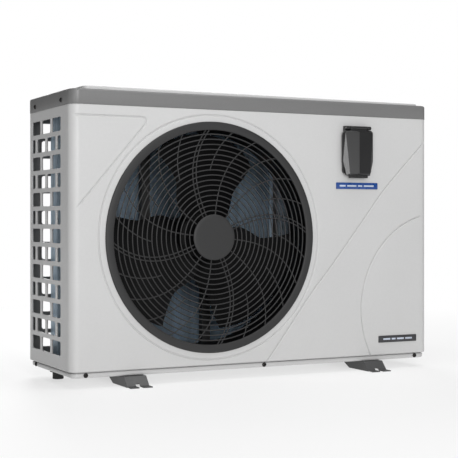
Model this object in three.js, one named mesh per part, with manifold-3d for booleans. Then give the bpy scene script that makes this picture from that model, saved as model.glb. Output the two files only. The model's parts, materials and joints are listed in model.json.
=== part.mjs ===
// Pool heat pump: a sheet-metal cabinet on two feet, with an axial fan blowing out of the front,
// a finned evaporator along the back, and a compressor bay with a water heat exchanger on the right.
// Units are millimetres. X runs right as seen from the front, Y runs to the back, Z runs up.
// Pieces are drawn in the cabinet's own coordinates (left front corner of the cabinet at X 0, Y 0,
// ground at Z 0), and the whole group is then moved so that its origin is the middle of its base.
import * as THREE from "three";
import { ConvexGeometry } from "three/addons/geometries/ConvexGeometry.js";
import { mergeVertices } from "three/addons/utils/BufferGeometryUtils.js";
import Module from "manifold-3d";

const wasm = await Module();
wasm.setup();

// ---------------------------------------------------------------- driving dimensions
const WIDTH = 960; // cabinet, left to right
const DEPTH = 290; // cabinet, front to back
const FEET_H = 23; // ground to the underside of the base pan
const LIP_H = 14; // base pan's visible rim under the front panel
const FACE_H = 625; // front face, from its bottom edge to the top of the dark band
const BAND_H = 34; // dark band round the top
const LID_RISE = 11.5; // lid above the band
const CORNER_R = 22; // rounded front corners of the casing
const REAR_R = 4; // rear corners of the casing
const SHEET = 1.5; // sheet metal
const GAP = 0.4; // between pieces that lie against each other
const INSET = 0.6; // panels behind the band's outer face
const RETURN_Y = 24; // where the front panel's side returns end and the side panels start

const FACE_Z = FEET_H + LIP_H;
const BAND_Z = FACE_Z + FACE_H - BAND_H;
const TOP_Z = FACE_Z + FACE_H;

const FAN = { x: 350, z: FACE_Z + 295 }; // fan axis
const GUARD_R = 268; // guard, outside of its rim
const GUARD_RIM_R = 248; // guard, inside of its rim
const CAP_R = 53; // round cap in the middle of the guard
const ROTOR_R = 244; // fan blade tips
const ROTOR_HUB_R = 60;
const DUCT_R = 252; // inside of the fan duct
const PARTITION_X = 646; // wall between the fan compartment and the compressor bay

const UNION = { y: 150, lowZ: 150, highZ: 350, bore: 25, socketLength: 34 };
const FOOT = { leftX: 151, rightX: 789, width: 54, reach: 44, deep: 105, toe: 20, slope: 18 };
const FOOT_SLOT = { width: 10, length: 24 };
const CONTROL = { x: 741, hingeZ: 598, hingeY: -12, bottomZ: 483, width: 84 };

// ---------------------------------------------------------------- materials
const paint = (color, roughness, metalness = 0) =>
  new THREE.MeshStandardMaterial({ color, roughness, metalness });
const M = {
  lightPaint: paint(0xcfcfcf, 0.5),
  bandPaint: paint(0x7b7b7b, 0.5),
  guardBlack: paint(0x454545, 0.6),
  fanBlack: paint(0x151617, 0.5),
  steel: paint(0xa9adb0, 0.4, 0.8),
  galvanised: paint(0x8f9496, 0.45, 0.7),
  footPaint: paint(0x484848, 0.6),
  blueFin: paint(0x5a7488, 0.5, 0.4),
  copper: paint(0xb06a3c, 0.35, 0.9),
  brass: paint(0xb59a4c, 0.35, 0.9),
  compressorBlack: paint(0x1c1c1e, 0.5, 0.2),
  pvc: paint(0x3c4044, 0.5),
  hxBlue: paint(0x2b2f33, 0.6),
  controlBlack: paint(0x2a2a2b, 0.3),
  screen: paint(0x10161c, 0.1),
  key: paint(0xc9ccce, 0.6),
  badgeBlue: paint(0x1c3f94, 0.35),
  badgeGrey: paint(0x3b3b3d, 0.4),
  rubber: paint(0x161616, 0.9),
  board: paint(0x1f5a3a, 0.5),
  screw: paint(0x101010, 0.4, 0.4),
};

// ---------------------------------------------------------------- solids
// A closed three.js geometry as a manifold solid.
function solid(geometry) {
  const plain = new THREE.BufferGeometry();
  plain.setAttribute("position", geometry.getAttribute("position"));
  if (geometry.index) plain.setIndex(geometry.index);
  const merged = mergeVertices(plain, 1e-4);
  return new wasm.Manifold(
    new wasm.Mesh({
      numProp: 3,
      vertProperties: new Float32Array(merged.attributes.position.array),
      triVerts: new Uint32Array(merged.index.array),
    }),
  );
}

// A manifold solid as a three.js geometry.
function geometryOf(manifold) {
  const made = manifold.getMesh();
  const stride = made.numProp;
  const points = new Float32Array(made.numVert * 3);
  for (let i = 0; i < made.numVert; i++) {
    points.set(made.vertProperties.subarray(i * stride, i * stride + 3), i * 3);
  }
  const geometry = new THREE.BufferGeometry();
  geometry.setAttribute("position", new THREE.BufferAttribute(points, 3));
  geometry.setIndex(new THREE.BufferAttribute(made.triVerts, 1));
  geometry.computeVertexNormals();
  return geometry;
}

const union = (...solids) => solids.reduce((whole, s) => whole.add(s));

function box(x0, x1, y0, y1, z0, z1) {
  const g = new THREE.BoxGeometry(x1 - x0, y1 - y0, z1 - z0);
  return solid(g.translate((x0 + x1) / 2, (y0 + y1) / 2, (z0 + z1) / 2));
}

const TURN = {
  x: (g) => g.rotateZ(-Math.PI / 2),
  y: (g) => g,
  z: (g) => g.rotateX(Math.PI / 2),
};

// A cylinder along an axis, from start to start + length, whose other two coordinates are given.
function cylinder(axis, radius, at, length, sides = 32) {
  const g = TURN[axis](new THREE.CylinderGeometry(radius, radius, length, sides));
  const centre = at.clone();
  centre[axis] += length / 2;
  return solid(g.translate(centre.x, centre.y, centre.z));
}

// A solid of revolution. The profile is a list of [radius, distance along the axis] that closes on itself.
function lathe(axis, profile, at, sides = 48) {
  const points = [...profile, profile[0]].map(([r, d]) => new THREE.Vector2(r, d));
  const area = points.slice(1).reduce((sum, p, i) => sum + points[i].x * p.y - p.x * points[i].y, 0);
  if (area < 0) points.reverse();
  return solid(TURN[axis](new THREE.LatheGeometry(points, sides)).translate(at.x, at.y, at.z));
}

// A round tube along a smooth curve through the points.
function pipe(radius, points, steps = 16, sides = 10) {
  const ring = new THREE.Shape(
    Array.from({ length: sides }, (_, i) => {
      const a = (2 * Math.PI * i) / sides;
      return new THREE.Vector2(radius * Math.cos(a), radius * Math.sin(a));
    }),
  );
  const path = new THREE.CatmullRomCurve3(points.map((p) => new THREE.Vector3(...p)), false, "centripetal");
  return solid(new THREE.ExtrudeGeometry(ring, { steps, bevelEnabled: false, extrudePath: path }));
}

// A flat outline in X and Y, raised from z0 to z1.
function prism(shape, z0, z1, curveSegments = 4) {
  const g = new THREE.ExtrudeGeometry(shape, { depth: z1 - z0, bevelEnabled: false, curveSegments });
  return solid(g.translate(0, 0, z0));
}

// A flat outline drawn as (X, Z), standing between y0 and y1.
function plate(shape, y0, y1, curveSegments = 6) {
  const g = new THREE.ExtrudeGeometry(shape, { depth: y1 - y0, bevelEnabled: false, curveSegments });
  return solid(g.rotateX(Math.PI / 2).translate(0, y1, 0));
}

// A flat outline drawn as (Y, Z), standing between x0 and x1.
function profile(points, x0, x1) {
  const shape = new THREE.Shape(points.map(([y, z]) => new THREE.Vector2(y, z)));
  const g = new THREE.ExtrudeGeometry(shape, { depth: x1 - x0, bevelEnabled: false });
  const turn = new THREE.Matrix4().makeBasis(
    new THREE.Vector3(0, 1, 0),
    new THREE.Vector3(0, 0, 1),
    new THREE.Vector3(1, 0, 0),
  );
  return solid(g.applyMatrix4(turn).translate(x0, 0, 0));
}

const at = (x, y, z) => new THREE.Vector3(x, y, z);

const root = new THREE.Group();

function add(name, made, material) {
  const mesh = new THREE.Mesh(geometryOf(made), material);
  mesh.name = name;
  root.add(mesh);
}

// The casing's outline in plan, drawn inset from its outer faces, with rounded corners.
function casingOutline(inset, frontR = CORNER_R, rearR = REAR_R) {
  const x0 = inset;
  const x1 = WIDTH - inset;
  const y0 = inset;
  const y1 = DEPTH - inset;
  const f = Math.max(frontR - inset, 1);
  const r = Math.max(rearR - inset, 1);
  const s = new THREE.Shape();
  s.moveTo(x0 + f, y0);
  s.lineTo(x1 - f, y0);
  s.absarc(x1 - f, y0 + f, f, -Math.PI / 2, 0, false);
  s.lineTo(x1, y1 - r);
  s.absarc(x1 - r, y1 - r, r, 0, Math.PI / 2, false);
  s.lineTo(x0 + r, y1);
  s.absarc(x0 + r, y1 - r, r, Math.PI / 2, Math.PI, false);
  s.lineTo(x0, y0 + f);
  s.absarc(x0 + f, y0 + f, f, Math.PI, 1.5 * Math.PI, false);
  return s;
}

const shellOf = (inset, thickness, z0, z1) =>
  prism(casingOutline(inset), z0, z1).subtract(prism(casingOutline(inset + thickness), z0 - 1, z1 + 1));

// ---------------------------------------------------------------- base and feet
const PAN_INSET = 6;
const PAN_WALL_TOP = FACE_Z + 14;
const DRAIN = at(30, 168, 0);
const DRAIN_R = 13;

function basePan() {
  const tray = prism(casingOutline(PAN_INSET), FEET_H, PAN_WALL_TOP).subtract(
    prism(casingOutline(PAN_INSET + SHEET), FEET_H + SHEET, PAN_WALL_TOP + 1),
  );
  const drainHole = cylinder("z", DRAIN_R + GAP, at(DRAIN.x, DRAIN.y, FEET_H - 1), 5, 20);
  add("base_pan", tray.subtract(drainHole), M.lightPaint);
}

function drainNozzle() {
  const flange = lathe(
    "z",
    [[0, 3], [DRAIN_R + 6, 3], [DRAIN_R + 6, 0], [DRAIN_R, 0], [DRAIN_R, -16], [0, -16]],
    at(DRAIN.x, DRAIN.y, 0),
    20,
  );
  const bore = cylinder("z", DRAIN_R - 2, at(DRAIN.x, DRAIN.y, -30), 60, 20);
  const made = flange.subtract(bore).translate([0, 0, FEET_H - 3]);
  add("drain_nozzle", made.translate([0, 0, -GAP]), M.rubber);
}

// A pressed channel, open below and shallower along its middle. Each end slopes down to a flat toe
// with an open slot for a bolt.
function foot(name, x) {
  const { width, reach, toe, slope, deep } = FOOT;
  const t = 2.5;
  const top = FEET_H - GAP;
  const front = -reach;
  const back = DEPTH + reach;
  const end = [[reach, t], [reach, 0], [reach - deep, 0], [reach - deep - 25, 13]];
  const slopes = [[reach - toe - slope, top], [reach - toe, t]];
  const under = [[reach - toe - 3, -1], [reach - toe - slope - 1, top - t]];
  const mirrored = (points) => [
    ...points.map(([out, z]) => [-out, z]),
    ...points.map(([out, z]) => [DEPTH + out, z]).reverse(),
  ];
  const hollow = profile(mirrored([under[1], under[0]]), x - width / 2 + t, x + width / 2 - t);
  const slotAt = (y0, y1) => box(x - FOOT_SLOT.width / 2, x + FOOT_SLOT.width / 2, y0, y1, -1, top + 1);
  const slots = [slotAt(front - 1, front + FOOT_SLOT.length), slotAt(back - FOOT_SLOT.length, back + 1)];
  const channel = profile(mirrored([...slopes, ...end]), x - width / 2, x + width / 2);
  add(name, [hollow, ...slots].reduce((whole, s) => whole.subtract(s), channel), M.footPaint);
}

// ---------------------------------------------------------------- casing panels
const BADGE = { x: 745, z: FACE_Z + 419, width: 121, height: 16 };
const MODEL_BADGE = { x: 866, z: FACE_Z + 38, width: 114, height: 17 };
const PANEL_HOLE_R = 258;

const onCasing = (x0, x1, y0, y1, z0, z1) =>
  shellOf(INSET, SHEET, z0, z1).intersect(box(x0, x1, y0, y1, z0 - 1, z1 + 1));

function frontPanel() {
  const sheet = onCasing(-1, WIDTH + 1, -1, RETURN_Y, FACE_Z, BAND_Z - GAP);
  const fanHole = cylinder("y", PANEL_HOLE_R, at(FAN.x, -5, FAN.z), 20, 56);
  const { x, bottomZ } = CONTROL;
  const controlHole = box(x - 36, x + 36, -5, 15, bottomZ + 10, bottomZ + 98);
  add("front_panel", sheet.subtract(fanHole).subtract(controlHole), M.lightPaint);
}

// Rectangular openings in rows like bricks: whole ones in one row, shifted by half in the next.
// along runs from a to b across the panel; each opening becomes a box made by cut(lo, hi, z0, z1).
const GRID = { rows: 13, pitchZ: 42.1, openZ: 32.5, bottomZ: FACE_Z + 30, bar: 8.3 };

function brickOpenings(a, b, columns, cut) {
  const open = (b - a - GRID.bar * (columns - 1)) / columns;
  const pitch = open + GRID.bar;
  const holes = [];
  for (let row = 0; row < GRID.rows; row++) {
    const z0 = GRID.bottomZ + row * GRID.pitchZ;
    const shift = row % 2 ? pitch / 2 : 0;
    for (let i = -1; i < columns + 1; i++) {
      const lo = Math.max(a + i * pitch + shift, a);
      const hi = Math.min(a + i * pitch + shift + open, b);
      if (hi - lo > GRID.bar) holes.push(cut(lo, hi, z0, z0 + GRID.openZ));
    }
  }
  return holes;
}

function leftSideGuard() {
  const sheet = onCasing(-1, 12, RETURN_Y + GAP, DEPTH - 12, FACE_Z, BAND_Z - GAP);
  const holes = brickOpenings(66, 274, 3, (lo, hi, z0, z1) => box(-2, 10, lo, hi, z0, z1));
  add("left_side_guard", sheet.subtract(wasm.Manifold.union(holes)), M.lightPaint);
}

const REAR_SPLIT_X = PARTITION_X + 6; // rear guard on the left of it, service panel on the right

function rearGuard() {
  const sheet = onCasing(-1, REAR_SPLIT_X, DEPTH - 12 + GAP, DEPTH + 1, FACE_Z, BAND_Z - GAP);
  const holes = brickOpenings(29, 637, 6, (lo, hi, z0, z1) => box(lo, hi, DEPTH - 8, DEPTH + 2, z0, z1));
  add("rear_guard", sheet.subtract(wasm.Manifold.union(holes)), M.lightPaint);
}

function rearServicePanel() {
  const sheet = onCasing(REAR_SPLIT_X + GAP, WIDTH + 1, DEPTH - 12 + GAP, DEPTH + 1, FACE_Z, BAND_Z - GAP);
  add("rear_service_panel", sheet, M.lightPaint);
}

const TERMINAL = { y0: 195, y1: 268, z0: 400, z1: 520 };

function rightSidePanel() {
  const sheet = onCasing(WIDTH - 12, WIDTH + 1, RETURN_Y + GAP, DEPTH - 12, FACE_Z, BAND_Z - GAP);
  const ports = [UNION.lowZ, UNION.highZ].map((z) =>
    cylinder("x", UNION.bore + 8, at(WIDTH - 20, UNION.y, z), 40, 32),
  );
  const { y0, y1, z0, z1 } = TERMINAL;
  const wiring = box(WIDTH - 20, WIDTH + 5, y0 + 10, y1 - 10, z0 + 10, z1 - 10);
  add("right_side_panel", [...ports, wiring].reduce((whole, s) => whole.subtract(s), sheet), M.lightPaint);
}

function terminalCover() {
  const outside = WIDTH - INSET + GAP;
  const shell = box(outside, outside + 18, TERMINAL.y0, TERMINAL.y1, TERMINAL.z0, TERMINAL.z1).subtract(
    box(outside - 1, outside + 16, TERMINAL.y0 + 2, TERMINAL.y1 - 2, TERMINAL.z0 + 2, TERMINAL.z1 - 2),
  );
  const glandHole = cylinder("z", 6.2, at(outside + 9, glandY, TERMINAL.z0 - 5), 12, 20);
  add("terminal_cover", shell.subtract(glandHole), M.bandPaint);
}

const glandY = (TERMINAL.y0 + TERMINAL.y1) / 2;

function cableGland() {
  const x = WIDTH - INSET + GAP + 9;
  const body = [[3.5, -26], [8, -26], [8.8, -20], [8.8, -16], [8.6, -GAP], [5.8, -GAP], [5.8, 8], [3.5, 8]];
  const made = lathe("z", body, at(0, 0, 0), 20);
  add("cable_gland", made.translate([x, glandY, TERMINAL.z0]), M.rubber);
}

// The dark band is a frame round the top with an inward flange that the lid rests on.
const FLANGE = 30;
const LID = { x0: 36, x1: WIDTH - 20, y0: 14, y1: DEPTH - 14, r: 14, t: 2 };

function roundedRect(x0, x1, y0, y1, r) {
  const s = new THREE.Shape();
  s.absarc(x1 - r, y0 + r, r, -Math.PI / 2, 0, false);
  s.absarc(x1 - r, y1 - r, r, 0, Math.PI / 2, false);
  s.absarc(x0 + r, y1 - r, r, Math.PI / 2, Math.PI, false);
  s.absarc(x0 + r, y0 + r, r, Math.PI, 1.5 * Math.PI, false);
  return s;
}

function topBand() {
  const skirt = shellOf(0, 2.5, BAND_Z, TOP_Z);
  const inner = roundedRect(FLANGE + 20, WIDTH - FLANGE, FLANGE, DEPTH - FLANGE, 12);
  const flange = prism(casingOutline(1), TOP_Z - 2, TOP_Z).subtract(prism(inner, TOP_Z - 3, TOP_Z + 1));
  add("top_band", skirt.add(flange), M.bandPaint);
}

// How high the lid stands along its length, as shares of its rise: it is highest near the middle.
const LID_CROWN = [[0, 0.82], [0.2, 0.95], [0.5, 1], [0.82, 0.74], [1, 0.5]];

function crown(x) {
  const along = THREE.MathUtils.clamp((x - LID.x0) / (LID.x1 - LID.x0), 0, 1);
  const i = Math.max(1, LID_CROWN.findIndex(([place]) => place >= along));
  const [[a, low], [b, high]] = [LID_CROWN[i - 1], LID_CROWN[i]];
  return THREE.MathUtils.mapLinear(along, a, b, low, high);
}

function topLid() {
  const { x0, x1, y0, y1, r } = LID;
  const shares = [0, 0.1, 0.2, 0.35, 0.5, 0.66, 0.82, 0.91, 1];
  const stations = shares.map((s) => THREE.MathUtils.lerp(x0, x1, s));
  const slab = (inset, foot, rise) => {
    const outline = roundedRect(x0 + inset, x1 - inset, y0 + inset, y1 - inset, r - inset);
    const plan = prism(outline, foot, rise);
    const cut = stations.slice(1).map((x, i) =>
      plan.intersect(box(stations[i], x, y0 - 1, y1 + 1, TOP_Z - 9, TOP_Z + 99)),
    );
    return cut.reduce((whole, part) => whole.add(part));
  };
  const bend = (point) => {
    if (point[2] > TOP_Z + 2) point[2] = TOP_Z + (point[2] - TOP_Z) * crown(point[0]);
  };
  const outer = slab(0, TOP_Z + GAP, TOP_Z + LID_RISE).refineToLength(60).warp(bend);
  const inner = slab(LID.t, TOP_Z - 1, TOP_Z + LID_RISE - LID.t).refineToLength(60).warp(bend);
  add("top_lid", outer.subtract(inner), M.lightPaint);
}

// Plain button-head screws, all of one size, along an outward axis.
function screw(name, axis, where, sign) {
  const head = [[0, 0], [5.5, 0], [5.5, 1.6], [4.2, 3], [0, 3]];
  const made = lathe(axis, head, at(0, 0, 0), 16);
  const turned = sign < 0 ? made.rotate(axis === "x" ? [0, 0, 180] : [180, 0, 0]) : made;
  add(name, turned.translate([where.x, where.y, where.z]), M.screw);
}

function screws() {
  const lipY = PAN_INSET - GAP;
  const lipZ = FACE_Z - 8;
  screw("lip_screw_left", "y", at(38, lipY, lipZ), -1);
  screw("lip_screw_middle", "y", at(487, lipY, lipZ), -1);
  screw("lip_screw_right", "y", at(WIDTH - 38, lipY, lipZ), -1);
  screw("lip_screw_side", "x", at(lipY, 256, lipZ), -1);
  screw("band_screw_front", "x", at(-GAP, 61, BAND_Z + 12), -1);
  screw("band_screw_rear", "x", at(-GAP, 246, BAND_Z + 12), -1);
}

function badges() {
  const badge = (name, { x, z, width, height }, material) => {
    const shape = roundedRect(x - width / 2, x + width / 2, z - height / 2, z + height / 2, 1.5);
    add(name, plate(shape, INSET - GAP - 1.8, INSET - GAP, 3), material);
  };
  badge("front_badge", BADGE, M.badgeBlue);
  badge("model_badge", MODEL_BADGE, M.badgeGrey);
}

// ---------------------------------------------------------------- fan
const SPOKES = 12;
const SPOKE_START = THREE.MathUtils.degToRad(24.5);
const SPOKE_SWEEP = THREE.MathUtils.degToRad(-21);
const WIRE = 3;
const GUARD_RINGS = 5; // spaces between the cap and the rim, radially
const GUARD_Y = INSET - GAP;

// How far a guard spoke has turned, at a radius, from where it leaves the cap.
const spokeTurn = (r) => SPOKE_SWEEP * ((r - CAP_R) / (GUARD_RIM_R - CAP_R)) ** 1.85;

function fanGuard() {
  const disc = new THREE.Shape();
  disc.absarc(FAN.x, FAN.z, GUARD_R, 0, 2 * Math.PI, false);
  const pitch = (GUARD_RIM_R - CAP_R) / GUARD_RINGS;
  const steps = 2;
  for (let ring = 0; ring < GUARD_RINGS; ring++) {
    const r0 = CAP_R + ring * pitch + (ring ? WIRE / 2 : 0);
    const r1 = CAP_R + (ring + 1) * pitch - (ring < GUARD_RINGS - 1 ? WIRE / 2 : 0);
    for (let i = 0; i < SPOKES; i++) {
      const doubled = (k) => (k % 3 === 0 ? 4 : 0) + WIRE / 2;
      const from = SPOKE_START + (i * 2 * Math.PI) / SPOKES;
      const to = SPOKE_START + ((i + 1) * 2 * Math.PI) / SPOKES;
      const corner = (r, side) => {
        const start = side ? to - doubled((i + 1) % SPOKES) / r : from + doubled(i) / r;
        return start + spokeTurn(r);
      };
      const point = (r, a) => new THREE.Vector2(FAN.x + r * Math.cos(a), FAN.z + r * Math.sin(a));
      const side = (r) =>
        Array.from({ length: steps + 1 }, (_, k) =>
          point(r, THREE.MathUtils.lerp(corner(r, 0), corner(r, 1), k / steps)),
        );
      disc.holes.push(new THREE.Path([...side(r0), ...side(r1).reverse()]));
    }
  }
  const grille = plate(disc, GUARD_Y - WIRE, GUARD_Y, 36);
  const seat = cylinder("y", CAP_R - 8, at(FAN.x, GUARD_Y - WIRE - 1, FAN.z), 2, 32);
  add("fan_guard", grille.subtract(seat), M.guardBlack);
  const cap = [[0, 0], [CAP_R - 8.5, 0], [CAP_R - 8.5, 1], [CAP_R, 1], [CAP_R - 1, 3], [0, 4]];
  const capFront = lathe("y", cap, at(0, 0, 0), 40).rotate([180, 0, 0]);
  add("guard_cap", capFront.translate([FAN.x, GUARD_Y - WIRE + 1 - GAP, FAN.z]), M.guardBlack);
}

function fanShroud() {
  const y0 = INSET + SHEET + GAP;
  const flange = [[0, 0], [34, 0], [34, 2], [8, 2], [2.5, 9]];
  const mouth = [[2.5, 84], [12, 92], [12, 94], [9, 94], [0, 86]];
  const section = [...flange, ...mouth].map(([r, y]) => [DUCT_R + r, y0 + y]);
  add("fan_shroud", lathe("y", section, at(FAN.x, 0, FAN.z), 44), M.fanBlack);
}

// half0 and half1: a blade's half angle at the hub and past its waist.
const ROTOR = { y0: 44, y1: 112, blades: 3, turn: 201, half0: 56, half1: 35.5, waist0: 0.1, waist1: 0.55 };

// One blade: a curved sheet from the hub to the tip, broad at its root and twisted.
function blade(turn) {
  const across = 6;
  const along = 7;
  const thick = 2.6;
  const points = [];
  for (const side of [1, -1]) {
    for (let i = 0; i <= along; i++) {
      const t = i / along;
      const r = THREE.MathUtils.lerp(ROTOR_HUB_R - 4, ROTOR_R, t);
      const waist = THREE.MathUtils.smoothstep(t, ROTOR.waist0, ROTOR.waist1);
      const half = THREE.MathUtils.degToRad(THREE.MathUtils.lerp(ROTOR.half0, ROTOR.half1, waist) + 2 * t);
      const lean = THREE.MathUtils.degToRad(4 * t * t);
      const rise = THREE.MathUtils.lerp(27, 33, t);
      for (let j = 0; j <= across; j++) {
        const u = (2 * j) / across - 1;
        const a = turn + lean + half * u;
        const camber = 7 * (1 - u * u);
        const edge = 1 - 0.7 * Math.abs(u) ** 6;
        const y = (ROTOR.y0 + ROTOR.y1) / 2 - rise * u - camber + (side * thick * edge) / 2;
        const tip = r - (t > 0.99 ? 10 * u ** 4 : 0);
        points.push(FAN.x + tip * Math.cos(a), y, FAN.z + tip * Math.sin(a));
      }
    }
  }
  const row = across + 1;
  const layer = row * (along + 1);
  const faces = [];
  const quad = (a, b, c, d) => faces.push(a, b, c, a, c, d);
  for (let i = 0; i < along; i++) {
    for (let j = 0; j < across; j++) {
      const p = i * row + j;
      quad(p, p + 1, p + 1 + row, p + row);
      quad(layer + p, layer + p + row, layer + p + row + 1, layer + p + 1);
    }
  }
  const rim = [];
  for (let j = 0; j < across; j++) rim.push(j);
  for (let i = 0; i < along; i++) rim.push(across + i * row);
  for (let j = across; j > 0; j--) rim.push(along * row + j);
  for (let i = along; i > 0; i--) rim.push(i * row);
  rim.forEach((p, k) => {
    const q = rim[(k + 1) % rim.length];
    quad(p, layer + p, layer + q, q);
  });
  const g = new THREE.BufferGeometry();
  g.setAttribute("position", new THREE.BufferAttribute(new Float32Array(points), 3));
  g.setIndex(faces);
  const made = solid(g);
  if (made.volume() > 0) return made;
  for (let k = 0; k < faces.length; k += 3) [faces[k], faces[k + 1]] = [faces[k + 1], faces[k]];
  g.setIndex(faces);
  return solid(g);
}

const SHAFT_R = 6;

function fanRotor() {
  const { y0, y1 } = ROTOR;
  const bore = SHAFT_R + GAP;
  const nose = [[bore, y0 + 8], [ROTOR_HUB_R - 12, y0], [ROTOR_HUB_R, y0 + 10], [ROTOR_HUB_R, y1]];
  const inside = [[ROTOR_HUB_R - 4, y1], [ROTOR_HUB_R - 4, y0 + 14]];
  const boss = [[22, y0 + 14], [22, y1 - 10], [bore, y1 - 10]];
  const hub = lathe("y", [...nose, ...inside, ...boss], at(FAN.x, 0, FAN.z), 36);
  const core = cylinder("y", ROTOR_HUB_R - 2, at(FAN.x, y0 + 12, FAN.z), y1, 36);
  let made = hub;
  for (let i = 0; i < ROTOR.blades; i++) {
    const turn = THREE.MathUtils.degToRad(ROTOR.turn + (360 / ROTOR.blades) * i);
    made = made.add(blade(turn).subtract(core));
  }
  add("fan_rotor", made, M.fanBlack);
  const nut = cylinder("y", 11, at(FAN.x, y0 - 6, FAN.z), 12, 6).subtract(
    cylinder("y", bore, at(FAN.x, y0 - 10, FAN.z), 30, 20),
  );
  add("fan_nut", nut, M.steel);
  const shaftLength = MOTOR.y0 + 9 - y0 - GAP;
  add("motor_shaft", cylinder("y", SHAFT_R, at(FAN.x, y0 - 9, FAN.z), shaftLength, 20), M.steel);
}

const MOTOR = { y0: 122, y1: 200, r: 46 };
const POST = { offset: 82, width: 22, y0: 206, y1: 224 };

function fanMotor() {
  const { y0, y1, r } = MOTOR;
  const front = [[0, y0], [20, y0], [22, y0 + 6], [r - 6, y0 + 10], [r, y0 + 18]];
  const back = [[r, y1 - 10], [r - 8, y1], [0, y1]];
  add("fan_motor", lathe("y", [...front, ...back], at(FAN.x, 0, FAN.z), 32), M.compressorBlack);
}

function motorBracket() {
  const z0 = FEET_H + SHEET + GAP;
  const z1 = BAND_Z - 4;
  const posts = [-1, 1].map((side) => {
    const x = FAN.x + side * POST.offset;
    return box(x - POST.width / 2, x + POST.width / 2, POST.y0, POST.y1, z0, z1).subtract(
      box(x - POST.width / 2 + 2, x + POST.width / 2 - 2, POST.y0 + 2, POST.y1 + 1, z0 - 1, z1 + 1),
    );
  });
  const reach = POST.offset + POST.width / 2;
  const rails = [FAN.z - 40, FAN.z + 16].map((z) =>
    box(FAN.x - reach, FAN.x + reach, POST.y0 - 3, POST.y0 + 1, z, z + 24),
  );
  const tie = box(FAN.x - 20, FAN.x + 20, POST.y0 - 3, POST.y0 - 1, FAN.z - 30, FAN.z + 30);
  add("motor_bracket", union(...posts, ...rails, tie), M.guardBlack);
}

// ---------------------------------------------------------------- refrigerant circuit
const LIQUID_Z = 200; // where the liquid pipe passes through the partition
const COIL = { x0: 52, x1: 628, y0: 236, y1: 276, z0: FEET_H + SHEET + 6, z1: BAND_Z - 10 };

function evaporator() {
  const { x0, x1, y0, y1, z0, z1 } = COIL;
  add("evaporator_fins", box(x0, x1, y0, y1, z0, z1), M.blueFin);
  const sheetAt = (name, xa, xb, foldA, foldB) => {
    const web = box(xa, xb, y0 - 4, y1 + 4, z0 - 4, z1 + 4);
    const fold = box(foldA, foldB, y0 - 4, y0 - 2.5, z0 - 4, z1 + 4);
    add(name, web.add(fold), M.blueFin);
  };
  sheetAt("coil_end_plate_left", x0 - GAP - SHEET, x0 - GAP, x0 - GAP, x0 + 12);
  sheetAt("coil_end_plate_right", x1 + GAP, x1 + GAP + SHEET, x1 + GAP, x1 + 10);
  const headerX = x1 + GAP + SHEET + 7;
  const stem = cylinder("z", 5, at(headerX, y1 - 12, z0 + 30), z1 - z0 - 60, 12);
  const taps = [0, 1, 2, 3, 4, 5].map((i) =>
    cylinder("x", 3, at(x1 + GAP + SHEET + GAP, y1 - 12, z0 + 60 + i * 85), 8, 8),
  );
  add("evaporator_header", union(stem, ...taps), M.copper);
}

function partition() {
  const web = box(PARTITION_X, PARTITION_X + SHEET, 10, COIL.y1 + 6, FEET_H + SHEET + GAP, BAND_Z - 4);
  const fold = box(PARTITION_X, PARTITION_X + 14, 10, 10 + SHEET, FEET_H + SHEET + GAP, BAND_Z - 4);
  const pipeHole = cylinder("x", 8, at(PARTITION_X - 5, COIL.y1 - 12, LIQUID_Z), 10, 16);
  add("partition_panel", web.add(fold).subtract(pipeHole), M.galvanised);
}

const COMPRESSOR = { x: 728, y: 180, r: 58, z0: 50, z1: 300 };
const ACCUMULATOR = { x: 812, y: 242, r: 30, z0: 120, z1: 285 };
const VALVE = { x: 775, y: 235, z: 400, r: 15 };

function compressor() {
  const { x, y, r, z0, z1 } = COMPRESSOR;
  const can = lathe(
    "z",
    [[0, z0], [r - 12, z0], [r, z0 + 14], [r, z1 - 22], [r - 16, z1 - 6], [10, z1], [0, z1]],
    at(x, y, 0),
    32,
  );
  const feet = [0, 120, 240].map((deg) =>
    box(0, r + 26, -13, 13, z0 - 3, z0 + 1).rotate([0, 0, deg + 30]).translate([x, y, 0]),
  );
  add("compressor", union(can, ...feet), M.compressorBlack);
  [0, 120, 240].forEach((deg, i) => {
    const a = THREE.MathUtils.degToRad(deg + 30);
    const place = at(x + (r + 14) * Math.cos(a), y + (r + 14) * Math.sin(a), FEET_H + SHEET + GAP);
    add(`compressor_grommet_${i + 1}`, cylinder("z", 11, place, z0 - 3 - GAP - place.z, 16), M.rubber);
  });
}

function accumulator() {
  const { x, y, r, z0, z1 } = ACCUMULATOR;
  const can = [[0, z0], [r - 14, z0], [r, z0 + 12], [r, z1 - 12], [r - 14, z1], [0, z1]];
  add("accumulator", lathe("z", can, at(x, y, 0), 24), M.compressorBlack);
}

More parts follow.
